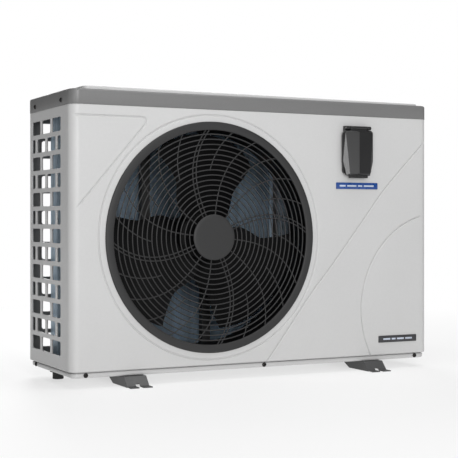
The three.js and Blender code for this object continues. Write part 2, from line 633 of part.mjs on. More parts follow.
function valvesAndPipes() {
  const { x, y, z, r } = VALVE;
  const barrel = cylinder("x", r, at(x - 45, y, z), 90, 24);
  const stubs = [-22, 0, 22].map((dx) => cylinder("z", 6, at(x + dx, y, z - r - 16), 20, 12));
  const top = cylinder("z", 6, at(x, y, z + r - 4), 20, 12);
  const coil = box(x - 20, x + 14, y - r - 22, y - r + 4, z - 12, z + 12);
  add("four_way_valve", union(barrel, ...stubs, top, coil), M.brass);
  const c = COMPRESSOR;
  const a = ACCUMULATOR;
  const under = z - r - 16 - GAP;
  const capZ = z + r + 16 + GAP;
  const discharge = [
    [c.x, c.y, c.z1 + GAP], [c.x, c.y, c.z1 + 60], [c.x - 8, c.y + 10, capZ], [c.x, y - 10, capZ + 30],
    [x - 16, y, capZ + 34], [x, y, capZ + 20], [x, y, capZ],
  ];
  const suction = [
    [x, y, under], [x, y, under - 14], [x + 20, y - 2, under - 34],
    [a.x, a.y, a.z1 + 26], [a.x, a.y, a.z1 + GAP],
  ];
  const outletX = COIL.x1 + GAP + SHEET + 13;
  const liquid = [
    [x - 22, y, under], [x - 22, y + 2, under - 30], [690, 248, 320], [668, 262, 260],
    [COIL.x1 + 20, COIL.y1 - 12, LIQUID_Z], [outletX, COIL.y1 - 12, LIQUID_Z],
  ];
  add("discharge_pipe", pipe(5, discharge, 28), M.copper);
  add("suction_pipe", pipe(6, suction, 20), M.copper);
  add("liquid_pipe", pipe(4, liquid, 26), M.copper);
  const body = cylinder("z", 11, at(692, 95, 330), 46, 20);
  const motor = cylinder("z", 18, at(692, 95, 374), 34, 24);
  const inlet = cylinder("x", 5, at(700, 95, 345), 26, 12);
  add("expansion_valve", union(body, motor, inlet), M.brass);
}

// ---------------------------------------------------------------- water side
const EXCHANGER = { x: 872, y: UNION.y, r: 66, z0: FEET_H + SHEET + 4, z1: 470 };

function heatExchanger() {
  const { x, y, r, z0, z1 } = EXCHANGER;
  const base = [[0, z0], [r, z0], [r, z0 + 22], [r - 4, z0 + 26]];
  const crown = [[r - 4, z1 - 40], [r, z1 - 36], [r, z1 - 14], [r - 16, z1], [0, z1]];
  const shell = lathe("z", [...base, ...crown], at(x, y, 0), 24);
  const ports = [UNION.lowZ, UNION.highZ].map((z) =>
    cylinder("x", UNION.bore + 5, at(x + r - 20, y, z), WIDTH + 6 - (x + r - 20), 28),
  );
  const bores = [UNION.lowZ, UNION.highZ].map((z) =>
    cylinder("x", UNION.bore - 5, at(x + r - 10, y, z), 60, 20),
  );
  const made = bores.reduce((whole, s) => whole.subtract(s), union(shell, ...ports));
  add("heat_exchanger", made, M.hxBlue);
}

// A union: a ribbed nut that holds a pipe socket against the exchanger's port.
function waterUnion(name, z) {
  const x0 = WIDTH + 6 + GAP;
  const inner = UNION.bore + 5;
  const end = 12 + UNION.socketLength;
  const outside = [[UNION.bore - 5, 0], [inner + 4, 0], [inner + 4, 5], [inner, 7], [inner, end]];
  const tail = [...outside, [UNION.bore, end], [UNION.bore, 12], [UNION.bore - 5, 12]];
  add(`${name}_socket`, lathe("x", tail, at(0, 0, 0), 24).translate([x0, UNION.y, z]), M.pvc);
  const ring = [[5, -5], [12, -5], [12, 18], [9, 22], [1, 22], [1, 8], [5, 5.5]];
  const nut = ring.map(([r, x]) => [inner + r, x]);
  let made = lathe("x", nut, at(0, 0, 0), 24);
  for (let i = 0; i < 8; i++) {
    const rib = box(-4, 16, inner + 10, inner + 14, -4, 4).rotate([45 * i + 22.5, 0, 0]);
    made = made.add(rib);
  }
  add(`${name}_nut`, made.translate([x0, UNION.y, z]), M.pvc);
}

function flowSwitch() {
  const { x, y, r } = EXCHANGER;
  const stem = cylinder("y", 9, at(x, y + r + GAP, UNION.lowZ + 20), 16, 16);
  const head = box(x - 14, x + 28, y + r + 14, y + r + 44, UNION.lowZ, UNION.lowZ + 44);
  add("flow_switch", stem.add(head), M.controlBlack);
}

// ---------------------------------------------------------------- electrical
const ELECTRIC = { x0: 664, x1: 940, y0: 46, y1: 268, z0: 510, z1: 600 };

function electrics() {
  const { x0, x1, y0, y1, z0, z1 } = ELECTRIC;
  const tray = box(x0, x1, y0, y1, z0, z1).subtract(box(x0 + 2, x1 - 2, y0 + 2, y1 - 2, z0 + 2, z1 + 1));
  add("electrical_box", tray, M.galvanised);
  const board = box(x0 + 20, x1 - 20, y0 + 20, y1 - 20, z0 + 10, z0 + 12);
  const corners = [[x0 + 30, y0 + 30], [x1 - 30, y0 + 30], [x0 + 30, y1 - 30], [x1 - 30, y1 - 30]];
  const posts = corners.map(([x, y]) => cylinder("z", 4, at(x, y, z0 + 2 + GAP), 9, 10));
  const parts = [
    box(x0 + 50, x0 + 110, y0 + 50, y0 + 90, z0 + 11, z0 + 45),
    cylinder("z", 16, at(x0 + 150, y0 + 70, z0 + 11), 45, 20),
    cylinder("z", 16, at(x0 + 190, y0 + 70, z0 + 11), 45, 20),
    box(x0 + 60, x0 + 200, y0 + 130, y0 + 180, z0 + 11, z0 + 30),
  ];
  add("control_board", union(board, ...posts, ...parts), M.board);
}

// ---------------------------------------------------------------- controller with its flip-up cover
const KEYS = { power: [-15, 38], mode: [15, 38], up: [-15, 20], down: [15, 20] };
const FACE_Y = -8; // front of the controller housing
const PIN_R = 1.6;

function controller() {
  const { x, bottomZ, hingeZ, hingeY } = CONTROL;
  const face = roundedRect(x - 41, x + 41, bottomZ + 2, hingeZ - 6, 8);
  const front = plate(face, FACE_Y, INSET - GAP, 3);
  const back = box(x - 35, x + 35, INSET - GAP - 1, 20, bottomZ + 11, bottomZ + 97);
  const ear = (xa, xb) =>
    union(
      cylinder("x", 4.4, at(xa, hingeY, hingeZ), xb - xa, 20),
      box(xa, xb, hingeY, INSET - GAP, hingeZ - 4.4, hingeZ + 4.4),
    );
  const bridge = box(x - 36, x + 36, -4, INSET - GAP, hingeZ - 12, hingeZ + 4.4);
  const pinHole = cylinder("x", PIN_R + GAP, at(x - 40, hingeY, hingeZ), 80, 20);
  const screenPocket = box(x - 27, x + 27, FACE_Y - 1, FACE_Y + 2.4, bottomZ + 50, bottomZ + 94);
  const keyPockets = Object.values(KEYS).map(([dx, dz]) =>
    box(x + dx - 9.4, x + dx + 9.4, FACE_Y - 1, -1.2, bottomZ + dz - 6.4, bottomZ + dz + 6.4),
  );
  const solidBody = union(front, back, bridge, ear(x - 36, x - 25), ear(x + 25, x + 36));
  const made = [pinHole, screenPocket, ...keyPockets].reduce((whole, s) => whole.subtract(s), solidBody);
  add("controller_housing", made, M.controlBlack);
  const screen = box(x - 26.6, x + 26.6, FACE_Y - 0.4, FACE_Y + 2, bottomZ + 50.4, bottomZ + 93.6);
  add("controller_screen", screen, M.screen);
  for (const [name, [dx, dz]] of Object.entries(KEYS)) {
    const cap = box(x + dx - 9, x + dx + 9, FACE_Y - 2, FACE_Y + 5, bottomZ + dz - 6, bottomZ + dz + 6);
    add(`${name}_key`, cap, M.key);
  }
  add("hinge_pin", cylinder("x", PIN_R, at(x - 35.5, hingeY, hingeZ), 71, 16), M.steel);
}

const RIDGE_X = -3.5; // the ridge stands a little to the left of the cover's middle

// The cover is a faceted shell with an upright ridge, open at the back.
function coverHull(shrink) {
  const { x, bottomZ, hingeZ, width } = CONTROL;
  const w = width / 2 + 2 - shrink;
  const top = hingeZ - 5 - shrink;
  const low = bottomZ - 2 + shrink;
  const back = FACE_Y - GAP - (shrink ? -2 : 0);
  const rim = [
    [-w + 6, top], [w - 6, top], [w, top - 9], [w, low + 36],
    [w - 9, low], [-w + 9, low], [-w, low + 36], [-w, top - 9],
  ];
  const shoulders = [[-w + 4, top - 5], [w - 5, top - 5], [w - 12, low + 4], [-w + 17, low + 4]];
  const crest = FACE_Y - 15.5 + shrink;
  const points = rim.flatMap(([dx, z]) => [at(x + dx, back, z), at(x + dx, crest + 12, z)]);
  shoulders.forEach(([dx, z]) => points.push(at(x + dx, crest + 6, z)));
  points.push(at(x + RIDGE_X, crest, top - 5), at(x + RIDGE_X, crest, low + 4));
  return solid(new ConvexGeometry(points));
}

function controllerCover() {
  const { x, bottomZ, hingeZ, hingeY } = CONTROL;
  const knuckle = union(
    cylinder("x", 4.4, at(x - 24, hingeY, hingeZ), 48, 20),
    box(x - 24, x + 24, hingeY - 4, hingeY + 1.5, hingeZ - 7.5, hingeZ),
  );
  const catchLip = box(x - 26, x + 26, FACE_Y - 7, FACE_Y - GAP, bottomZ - 8, bottomZ + 1);
  const shell = union(coverHull(0), knuckle, catchLip).subtract(coverHull(2));
  const pinHole = cylinder("x", PIN_R + GAP, at(x - 40, hingeY, hingeZ), 80, 20);
  add("controller_cover", shell.subtract(pinHole), M.controlBlack);
}

// ---------------------------------------------------------------- build
basePan();
drainNozzle();
foot("foot_left", FOOT.leftX);
foot("foot_right", FOOT.rightX);
frontPanel();
leftSideGuard();
rearGuard();
rearServicePanel();
rightSidePanel();
terminalCover();
cableGland();
topBand();
topLid();
screws();
badges();
fanGuard();
fanShroud();
fanRotor();
fanMotor();
motorBracket();
evaporator();
partition();
compressor();
accumulator();
valvesAndPipes();
heatExchanger();
waterUnion("inlet", UNION.lowZ);
waterUnion("outlet", UNION.highZ);
flowSwitch();
electrics();
controller();
controllerCover();

// The origin goes to the middle of the whole object's base.
const bounds = new THREE.Box3().setFromObject(root);
const middle = bounds.getCenter(new THREE.Vector3());
root.position.set(-middle.x, -middle.y, -bounds.min.z);

export default root;
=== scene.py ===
import json
import math

import bmesh
import bpy
import numpy as np
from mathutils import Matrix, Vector
from mathutils.geometry import delaunay_2d_cdt


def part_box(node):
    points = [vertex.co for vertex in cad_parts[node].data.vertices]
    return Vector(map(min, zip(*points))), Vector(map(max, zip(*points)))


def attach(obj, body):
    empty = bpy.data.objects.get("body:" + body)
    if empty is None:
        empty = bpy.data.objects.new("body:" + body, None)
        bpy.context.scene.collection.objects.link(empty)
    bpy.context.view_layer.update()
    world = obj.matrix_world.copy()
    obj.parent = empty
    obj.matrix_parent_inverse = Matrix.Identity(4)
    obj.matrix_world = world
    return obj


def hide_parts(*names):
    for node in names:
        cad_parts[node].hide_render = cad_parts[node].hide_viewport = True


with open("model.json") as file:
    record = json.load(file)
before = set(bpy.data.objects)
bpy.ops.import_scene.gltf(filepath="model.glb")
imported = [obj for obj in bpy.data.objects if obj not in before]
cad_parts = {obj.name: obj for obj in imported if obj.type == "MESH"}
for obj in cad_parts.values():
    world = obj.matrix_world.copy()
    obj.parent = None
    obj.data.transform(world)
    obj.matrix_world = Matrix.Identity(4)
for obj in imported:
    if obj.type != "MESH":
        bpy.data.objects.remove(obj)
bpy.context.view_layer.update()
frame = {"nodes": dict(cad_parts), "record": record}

# Pieces are drawn in millimetres in the cabinet's own coordinates: X from its left side, Y from its front,
# Z from the ground. ORIGIN is where that corner lies in the frame.
MM = 0.001
BAND_LOW, BAND_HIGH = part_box("top_band")
ORIGIN = Vector((BAND_LOW.x, BAND_LOW.y, 0.0))
WIDTH = (BAND_HIGH.x - BAND_LOW.x) / MM
DEPTH = (BAND_HIGH.y - BAND_LOW.y) / MM
BAND_Z0 = BAND_LOW.z / MM
BAND_Z1 = BAND_HIGH.z / MM


def cabinet_box(node):
    """A CAD node's corners in the cabinet's millimetres."""
    low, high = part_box(node)
    return (low - ORIGIN) / MM, (high - ORIGIN) / MM


PANEL_LOW, PANEL_HIGH = cabinet_box("front_panel")
PANEL_Z0, PANEL_Z1 = PANEL_LOW.z, PANEL_HIGH.z
INSET = PANEL_LOW.x
CORNER, REAR_CORNER = 22.0, 4.0
RETURN_Y = PANEL_HIGH.y
GUARD_LOW, GUARD_HIGH = cabinet_box("fan_guard")
FAN_X = (GUARD_LOW.x + GUARD_HIGH.x) / 2
FAN_Z = (GUARD_LOW.z + GUARD_HIGH.z) / 2
FAN = (FAN_X, 0, FAN_Z)
GUARD_R = (GUARD_HIGH.x - GUARD_LOW.x) / 2


# ---------------------------------------------------------------- node materials
class Nodes:
    """A short way to write a node tree: each call makes a node and links what it is given."""

    def __init__(self, owner, place="Object"):
        owner.use_nodes = True
        self.owner, self.tree = owner, owner.node_tree
        self.shader = self.tree.nodes.get("Principled BSDF")
        self.place = self.tree.nodes.new("ShaderNodeTexCoord").outputs[place]

    def node(self, kind, settings=None, **inputs):
        made = self.tree.nodes.new(kind)
        for key, value in (settings or {}).items():
            setattr(made, key, value)
        for key, value in inputs.items():
            self.feed(made.inputs[key.replace("_", " ")], value)
        return made

    def feed(self, socket, value):
        if isinstance(value, bpy.types.NodeSocket):
            self.tree.links.new(value, socket)
        else:
            socket.default_value = value

    def noise(self, scale, detail=4.0, rough=0.55, stretch=None):
        vector = self.place
        if stretch:
            vector = self.node("ShaderNodeMapping", Vector=vector, Scale=stretch).outputs["Vector"]
        made = self.node("ShaderNodeTexNoise", Vector=vector, Scale=scale, Detail=detail, Roughness=rough)
        return made.outputs["Fac"]

    def ramp(self, value, low, high, start=0.35, end=0.65):
        made = self.node("ShaderNodeValToRGB", Fac=value)
        for stop, place, color in zip(made.color_ramp.elements, (start, end), (low, high)):
            stop.position = place
            stop.color = (*color, 1.0)
        return made.outputs["Color"]

    def span(self, value, low, high, start=0.3, end=0.7):
        made = self.node("ShaderNodeMapRange", Value=value)
        for key, number in zip(("From Min", "From Max", "To Min", "To Max"), (start, end, low, high)):
            made.inputs[key].default_value = number
        return made.outputs["Result"]

    def mix(self, factor, a, b, blend="MIX"):
        made = self.node("ShaderNodeMix", {"data_type": "RGBA", "blend_type": blend})
        self.feed(made.inputs[0], factor)
        for socket, value in ((made.inputs[6], a), (made.inputs[7], b)):
            self.feed(socket, (*value, 1.0) if isinstance(value, tuple) else value)
        return made.outputs[2]

    def bump(self, height, strength, distance, under=None):
        made = self.node("ShaderNodeBump", Height=height, Strength=strength, Distance=distance)
        if under:
            self.tree.links.new(under, made.inputs["Normal"])
        return made.outputs["Normal"]

    def finish(self, color=None, roughness=None, normal=None, **fixed):
        for key, value in (("Base Color", color), ("Roughness", roughness), ("Normal", normal)):
            if value is not None:
                self.feed(self.shader.inputs[key], value)
        for key, value in fixed.items():
            self.shader.inputs[key.replace("_", " ")].default_value = value
        return self.owner


def material_nodes(name):
    return Nodes(bpy.data.materials.new(name))


def shade(color, factor):
    return tuple(c * factor for c in color)


def grey(tone):
    return (tone, tone, tone)


def painted(name, color, roughness=0.45, peel=0.12, grain=900.0, dust=0.06, **fixed):
    """Sprayed paint: an orange-peel skin, cloudy tone, and a little dust that gathers low down."""
    n = material_nodes(name)
    cloud = n.ramp(n.noise(6.0, 5.0), shade(color, 0.965), shade(color, 1.02))
    speck = n.ramp(n.noise(160.0, 3.0), shade(color, 0.97), shade(color, 1.01))
    tone = n.mix(0.5, cloud, speck)
    height = n.node("ShaderNodeSeparateXYZ", Vector=n.place).outputs["Z"]
    low = n.node("ShaderNodeMath", {"operation": "MULTIPLY"})
    n.feed(low.inputs[0], n.span(height, dust, 0.0, 0.03, 0.2))
    n.feed(low.inputs[1], n.noise(30.0, 6.0))
    tone = n.mix(low.outputs[0], tone, (0.33, 0.3, 0.26))
    skin = n.bump(n.noise(grain, 2.0), peel, 0.0004)
    gloss = n.span(n.noise(14.0, 6.0), roughness - 0.05, roughness + 0.06)
    return n.finish(tone, gloss, skin, **fixed)


def moulded(name, color, roughness=0.5, grain=1400.0, depth=0.25, mottle=0.12, wear=0.07, **fixed):
    """Moulded plastic or rubber: a fine spark-eroded grain and faint handling marks."""
    n = material_nodes(name)
    tone = n.ramp(n.noise(22.0, 6.0), shade(color, 1 - mottle), shade(color, 1 + mottle))
    skin = n.bump(n.noise(grain, 2.0), depth, 0.0003)
    gloss = n.span(n.noise(40.0, 5.0), roughness - wear, roughness + wear)
    return n.finish(tone, gloss, skin, **fixed)


def metal(name, color, tarnish, roughness=0.35, brush=None, **fixed):
    """Bare metal with drawn marks along one direction and patches of tarnish."""
    n = material_nodes(name)
    marks = n.noise(220.0, 4.0, 0.6, brush or (1.0, 1.0, 0.04))
    tone = n.mix(n.span(n.noise(18.0, 6.0), 0.0, 0.55, 0.45, 0.75), color, tarnish)
    tone = n.mix(n.span(marks, 0.0, 0.15), tone, shade(color, 0.7))
    skin = n.bump(marks, 0.15, 0.0002)
    gloss = n.span(marks, roughness - 0.08, roughness + 0.12)
    return n.finish(tone, gloss, skin, Metallic=1.0, **fixed)


def galvanised(name, color):
    """Hot-dip zinc with its crystal spangle."""
    n = material_nodes(name)
    cells = n.node("ShaderNodeTexVoronoi", Vector=n.place, Scale=95.0).outputs["Color"]
    grey = n.node("ShaderNodeRGBToBW", Color=cells).outputs["Val"]
    tone = n.ramp(grey, shade(color, 0.8), shade(color, 1.12), 0.2, 0.8)
    gloss = n.span(grey, 0.34, 0.5, 0.2, 0.8)
    return n.finish(tone, gloss, n.bump(grey, 0.05, 0.0003), Metallic=0.75)


def coated_fins(name, color):
    """Blue hydrophilic fin stock, streaked down the coil where water has run."""
    n = material_nodes(name)
    streaks = n.noise(60.0, 5.0, 0.6, (1.0, 1.0, 0.05))
    tone = n.ramp(streaks, shade(color, 0.75), shade(color, 1.2))
    tone = n.mix(n.span(n.noise(9.0, 6.0), 0.0, 0.25, 0.5, 0.8), tone, (0.2, 0.22, 0.22))
    return n.finish(tone, n.span(streaks, 0.38, 0.55), n.bump(n.noise(500.0), 0.1, 0.0003), Metallic=0.3)


def circuit_board(name):
    """Green solder mask with paler copper tracks under it."""
    n = material_nodes(name)
    tracks = n.node("ShaderNodeTexBrick", Vector=n.place, Scale=140.0, Mortar_Size=0.03).outputs["Fac"]
    tone = n.mix(tracks, (0.01, 0.09, 0.035), (0.04, 0.2, 0.08))
    return n.finish(tone, n.span(n.noise(80.0), 0.3, 0.45), n.bump(tracks, 0.3, 0.0002))


def glass_screen(name):
    """A dark display window with faint smears."""
    n = material_nodes(name)
    tone = n.ramp(n.noise(12.0, 3.0), (0.012, 0.018, 0.022), (0.02, 0.028, 0.034))
    return n.finish(tone, n.span(n.noise(35.0, 6.0), 0.05, 0.16), Coat_Weight=0.4)


MATERIALS = {
    "light_paint": painted("light_paint", grey(0.47), 0.42),
    "band_paint": painted("band_paint", grey(0.14), 0.4, peel=0.08),
    # A near-black finish for the inner faces of sheets: painted shade for the inside of the casing.
    "inner_painted_shade": painted("inner_painted_shade", (0.045, 0.046, 0.048), 0.55, dust=0.0),
    "guard_black": painted("guard_black", (0.024, 0.024, 0.0245), 0.5, peel=0.2, dust=0.0,
                           Specular_IOR_Level=0.3),
    "fan_black": moulded("fan_black", (0.003, 0.003, 0.0033), 0.55, Specular_IOR_Level=0.09),
    "steel": metal("steel", grey(0.5), (0.3, 0.27, 0.24)),
    "galvanised": galvanised("galvanised", (0.4, 0.41, 0.42)),
    "foot_paint": painted("foot_paint", (0.05, 0.05, 0.051), 0.45, dust=0.0),
    "blue_fin": coated_fins("blue_fin", (0.46, 0.58, 0.69)),
    "copper": metal("copper", (0.66, 0.3, 0.16), (0.16, 0.09, 0.06), 0.3),
    "brass": metal("brass", (0.62, 0.47, 0.2), (0.25, 0.18, 0.08), 0.3),
    "compressor_black": painted("compressor_black", (0.012, 0.012, 0.013), 0.4, dust=0.1),
    "pvc": moulded("pvc", (0.045, 0.05, 0.055), 0.4),
    "exchanger_shell": moulded("exchanger_shell", (0.02, 0.024, 0.028), 0.45),
    "control_black": moulded("control_black", (0.011, 0.011, 0.0115), 0.33, 3000.0, 0.02, 0.04, 0.02,
                             Coat_Weight=0.2),
    "screen": glass_screen("screen"),
    "key": moulded("key", (0.5, 0.51, 0.52), 0.6),
    "badge_blue": moulded("badge_blue", (0.010, 0.05, 0.21), 0.28, 2500.0, 0.05, Coat_Weight=0.3),
    "badge_grey": moulded("badge_grey", (0.03, 0.03, 0.033), 0.35),
    "badge_mark": moulded("badge_mark", (0.42, 0.46, 0.54), 0.35),
    "rubber": moulded("rubber", grey(0.012), 0.75, 700.0, 0.4),
    "board": circuit_board("board"),
    "screw": metal("screw", grey(0.03), (0.08, 0.06, 0.05), 0.4),
}


# ---------------------------------------------------------------- meshes
def placed(name, data):
    """A new object in the scene."""
    made = bpy.data.objects.new(name, data)
    bpy.context.scene.collection.objects.link(made)
    return made


def piece(name, verts, faces, material, body="cabinet", replaces=(), angle=35.0, slot=None):
    """A mesh drawn in the cabinet's millimetres, with its material, that rides on a body."""
    mesh = bpy.data.meshes.new(name)
    mesh.from_pydata([ORIGIN + Vector(v) * MM for v in verts], [], faces)
    bm = bmesh.new()
    bm.from_mesh(mesh)
    bmesh.ops.remove_doubles(bm, verts=bm.verts, dist=2e-6)
    bm.to_mesh(mesh)
    bm.free()
    mesh.shade_smooth()
    mesh.set_sharp_from_angle(angle=math.radians(angle))
    made = placed(name, mesh)
    made.data.materials.append(MATERIALS[material])
    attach(made, body)
    if replaces:
        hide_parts(*replaces)
    return made


def outward(made):
    """Turns every face of a closed mesh to face out."""
    bm = bmesh.new()
    bm.from_mesh(made.data)
    bmesh.ops.recalc_face_normals(bm, faces=bm.faces)
    bm.to_mesh(made.data)
    bm.free()
    return made


def thicken(made, thickness, inner=None):
    """Gives a sheet its thickness, inwards. inner, if given, names a darker finish for its inner face:
    painted shade for the inside of the casing.
    """
    m = made.modifiers.new("thickness", "SOLIDIFY")
    m.thickness = thickness * MM
    m.offset = -1.0
    if inner:
        made.data.materials.append(MATERIALS[inner])
        m.material_offset = 1
    return made


def soften(made, width, segments=3, angle=35.0):
    m = made.modifiers.new("rounded edges", "BEVEL")
    m.width = width * MM
    m.segments = segments
    m.limit_method = "ANGLE"
    m.angle_limit = math.radians(angle)
    m.harden_normals = True
    return made


class Shape:
    """Vertices and faces collected from several bodies of one piece."""

    def __init__(self):
        self.verts = []
        self.faces = []

    def add(self, verts, faces):
        start = len(self.verts)
        self.verts += [tuple(v) for v in verts]
        self.faces += [tuple(i + start for i in f) for f in faces]
        return self

    def make(self, name, material, **how):
        return outward(piece(name, self.verts, self.faces, material, **how))


def rings(loops, closed_along=False, first=True, last=True):
    """Faces that join equal rings of points, one after another, and cap the first and the last ring."""
    count = len(loops[0])
    verts = [p for loop in loops for p in loop]
    faces = []
    for i in range(len(loops) if closed_along else len(loops) - 1):
        a, b = i * count, (i + 1) % len(loops) * count
        for j in range(count):
            k = (j + 1) % count
            faces.append((a + j, a + k, b + k, b + j))
    if first and not closed_along:
        faces.append(tuple(reversed(range(count))))
    if last and not closed_along:
        faces.append(tuple(range(len(verts) - count, len(verts))))
    return verts, faces


AXES = {
    "x": (Vector((1, 0, 0)), Vector((0, 1, 0)), Vector((0, 0, 1))),
    "y": (Vector((0, 1, 0)), Vector((0, 0, 1)), Vector((1, 0, 0))),
    "z": (Vector((0, 0, 1)), Vector((1, 0, 0)), Vector((0, 1, 0))),
}


def turned(axis, centre, profile, sides=48, closed=True):
    """A solid of revolution. The profile lists (radius, distance along the axis)."""
    along, across, up = AXES[axis]
    angles = [2 * math.pi * i / sides for i in range(sides)]
    loops = []
    for radius, distance in profile:
        middle, r = Vector(centre) + along * distance, max(radius, 1e-3)
        loops.append([middle + (across * math.cos(a) + up * math.sin(a)) * r for a in angles])
    return rings(loops, closed_along=closed)


def lathe(name, material, axis, centre, profile, sides=48, closed=True, **how):
    """A piece that is one solid of revolution."""
    return Shape().add(*turned(axis, centre, profile, sides, closed)).make(name, material, **how)


def spread(shape, axis, centre, count, loops, start=0.0):
    """Adds equal ribs round an axis. Their loops list (radius, sideways, distance along the axis)."""
    along, across, up = AXES[axis]
    for i in range(count):
        a = start + 2 * math.pi * i / count
        out = across * math.cos(a) + up * math.sin(a)
        side = up * math.cos(a) - across * math.sin(a)
        shape.add(*rings([[Vector(centre) + out * r + side * s + along * d for r, s, d in loop]
                          for loop in loops]))


def tube(points, radius, sides=8, closed=False):
    """A round wire along a line of points."""
    points = [Vector(p) for p in points]
    count = len(points)
    loops = []
    side = None
    for i, p in enumerate(points):
        before = points[i - 1] if closed or i else p
        after = points[(i + 1) % count] if closed or i < count - 1 else p
        along = (after - before).normalized()
        if side is None:
            side = along.orthogonal()
        side = (side - along * side.dot(along)).normalized()
        up = along.cross(side)
        loops.append([
            p + (side * math.cos(a) + up * math.sin(a)) * radius
            for a in (2 * math.pi * j / sides for j in range(sides))
        ])
    return rings(loops, closed_along=closed)


def block(low, high):
    """The eight corners and six faces of a box."""
    xs, ys, zs = zip(low, high)
    verts = [(x, y, z) for z in zs for y in ys for x in xs]
    faces = [(0, 2, 3, 1), (4, 5, 7, 6), (0, 1, 5, 4), (1, 3, 7, 5), (3, 2, 6, 7), (2, 0, 4, 6)]
    return verts, faces


def rounded_rect(x0, x1, y0, y1, radius, steps=6):
    """Corner points of a rectangle with rounded corners, counter-clockwise."""
    loop = []
    for cx, cy, start in ((x1 - radius, y0 + radius, -90), (x1 - radius, y1 - radius, 0),
                          (x0 + radius, y1 - radius, 90), (x0 + radius, y0 + radius, 180)):
        for i in range(steps + 1):
            a = math.radians(start + 90 * i / steps)
            loop.append((cx + radius * math.cos(a), cy + radius * math.sin(a)))
    return loop


def stepped(low, high, axis, layers, corner, steps=6, first=True):
    """Rounded rectangles joined along an axis. layers lists (inset, place along the axis).

    corner gives the corners' radius, what they lose with each millimetre of inset, and their least radius.
    """
    k = "xyz".index(axis)
    a, b = (i for i in range(3) if i != k)
    loops = []
    for inset, place in layers:
        radius = max(corner[0] - corner[1] * inset, corner[2])
        loop = rounded_rect(low[a] + inset, high[a] - inset, low[b] + inset, high[b] - inset, radius, steps)
        loops.append([(*p[:k], place, *p[k:]) for p in loop])
    return rings(loops, first=first)


def casing_loop(inset, steps=10):
    """The casing's outline in plan, inset from its outer faces, counter-clockwise from above."""
    loop = []
    corners = (
        (WIDTH - inset, inset, CORNER, -90), (WIDTH - inset, DEPTH - inset, REAR_CORNER, 0),
        (inset, DEPTH - inset, REAR_CORNER, 90), (inset, inset, CORNER, 180),
    )
    for x, y, radius, start in corners:
        r = max(radius - inset, 0.5)
        cx = x - r if x > WIDTH / 2 else x + r
        cy = y - r if y > DEPTH / 2 else y + r
        for i in range(steps + 1):
            a = math.radians(start + 90 * i / steps)
            loop.append((cx + r * math.cos(a), cy + r * math.sin(a)))
    return loop


# ---------------------------------------------------------------- folded and pressed sheets
GROOVE_ROWS = np.array([-1.35, -1.0, -0.6, -0.25, 0.25, 0.6, 1.0, 1.35])  # in half widths from the path
MARGIN = 1.2  # a row of mesh this far from every edge keeps the shading of the sheet even


class Groove:
    """A pressed line in a sheet: a dense path, the groove's half width and its depth."""

    def __init__(self, path, half=2.9, depth=2.8, fade=14.0, closed=False):
        self.path = np.array(path, float)
        self.half, self.depth, self.fade, self.closed = half, depth, fade, closed
        steps = np.linalg.norm(np.diff(self.path, axis=0), axis=1)
        self.along = np.concatenate([[0], np.cumsum(steps)])

    def rows(self):
        """Lines parallel to the path, where the sheet's mesh follows the groove."""
        steps = np.diff(self.path, axis=0)
        steps /= np.linalg.norm(steps, axis=1)[:, None]
        way = np.vstack([steps[:1], (steps[1:] + steps[:-1]) / 2, steps[-1:]])
        side = np.column_stack([-way[:, 1], way[:, 0]])
        side /= np.linalg.norm(side, axis=1)[:, None]
        return [self.path + side * d for d in self.half * GROOVE_ROWS]

    def depth_at(self, points):
        a, b = self.path[:-1], self.path[1:]
        edge = b - a
        size = (edge ** 2).sum(1)
        best = np.full(len(points), 1e9)
        where = np.zeros(len(points))
        for i in range(len(a)):
            t = np.clip(((points - a[i]) @ edge[i]) / size[i], 0, 1)
            d = np.linalg.norm(points - (a[i] + t[:, None] * edge[i]), axis=1)
            near = d < best
            best[near] = d[near]
            where[near] = (self.along[i] + t * math.sqrt(size[i]))[near]
        t = np.clip(best / self.half, 0, 1)
        fall = self.depth * (0.5 + 0.5 * np.cos(math.pi * t))
        if self.closed:
            return fall
        ends = np.minimum(where, self.along[-1] - where) / self.fade
        return fall * np.clip(ends, 0, 1)


def smooth_path(points, step=6.0):
    """A dense, smooth path through the points, by centripetal steps."""
    points = [Vector(p) for p in points]
    padded = [points[0] * 2 - points[1]] + points + [points[-1] * 2 - points[-2]]
    path = []
    for p0, p1, p2, p3 in zip(padded, padded[1:], padded[2:], padded[3:]):
        count = max(int((p2 - p1).length / step), 1)
        for i in range(count):
            t = i / count
            path.append(0.5 * (2 * p1 + (p2 - p0) * t + (2 * p0 - 5 * p1 + 4 * p2 - p3) * t * t
                               + (3 * p1 - p0 - 3 * p2 + p3) * t ** 3))
    return [tuple(p) for p in path] + [tuple(points[-1])]


def arc_path(cx, cy, radius, start, end, step=6.0):
    count = max(int(abs(math.radians(end - start)) * radius / step), 2)
    angles = [math.radians(start + (end - start) * i / count) for i in range(count + 1)]
    return [(cx + radius * math.cos(a), cy + radius * math.sin(a)) for a in angles]


class Fold:
    """A sheet's line in plan. It turns a place along the line, in from its face, into a point."""

    def __init__(self, line):
        self.line = np.array(line, float)
        steps = np.diff(self.line, axis=0)
        length = np.linalg.norm(steps, axis=1)
        self.u = np.concatenate([[0], np.cumsum(length)])
        way = steps / length[:, None]
        way = np.vstack([way[:1], way[1:] + way[:-1], way[-1:]])
        way /= np.linalg.norm(way, axis=1)[:, None]
        self.inward = np.column_stack([-way[:, 1], way[:, 0]])

    def at(self, u, z, depth):
        x, y = (np.interp(u, self.u, self.line[:, k]) for k in (0, 1))
        nx, ny = (np.interp(u, self.u, self.inward[:, k]) for k in (0, 1))
        size = np.hypot(nx, ny)
        return np.column_stack([x + nx / size * depth, y + ny / size * depth, z])


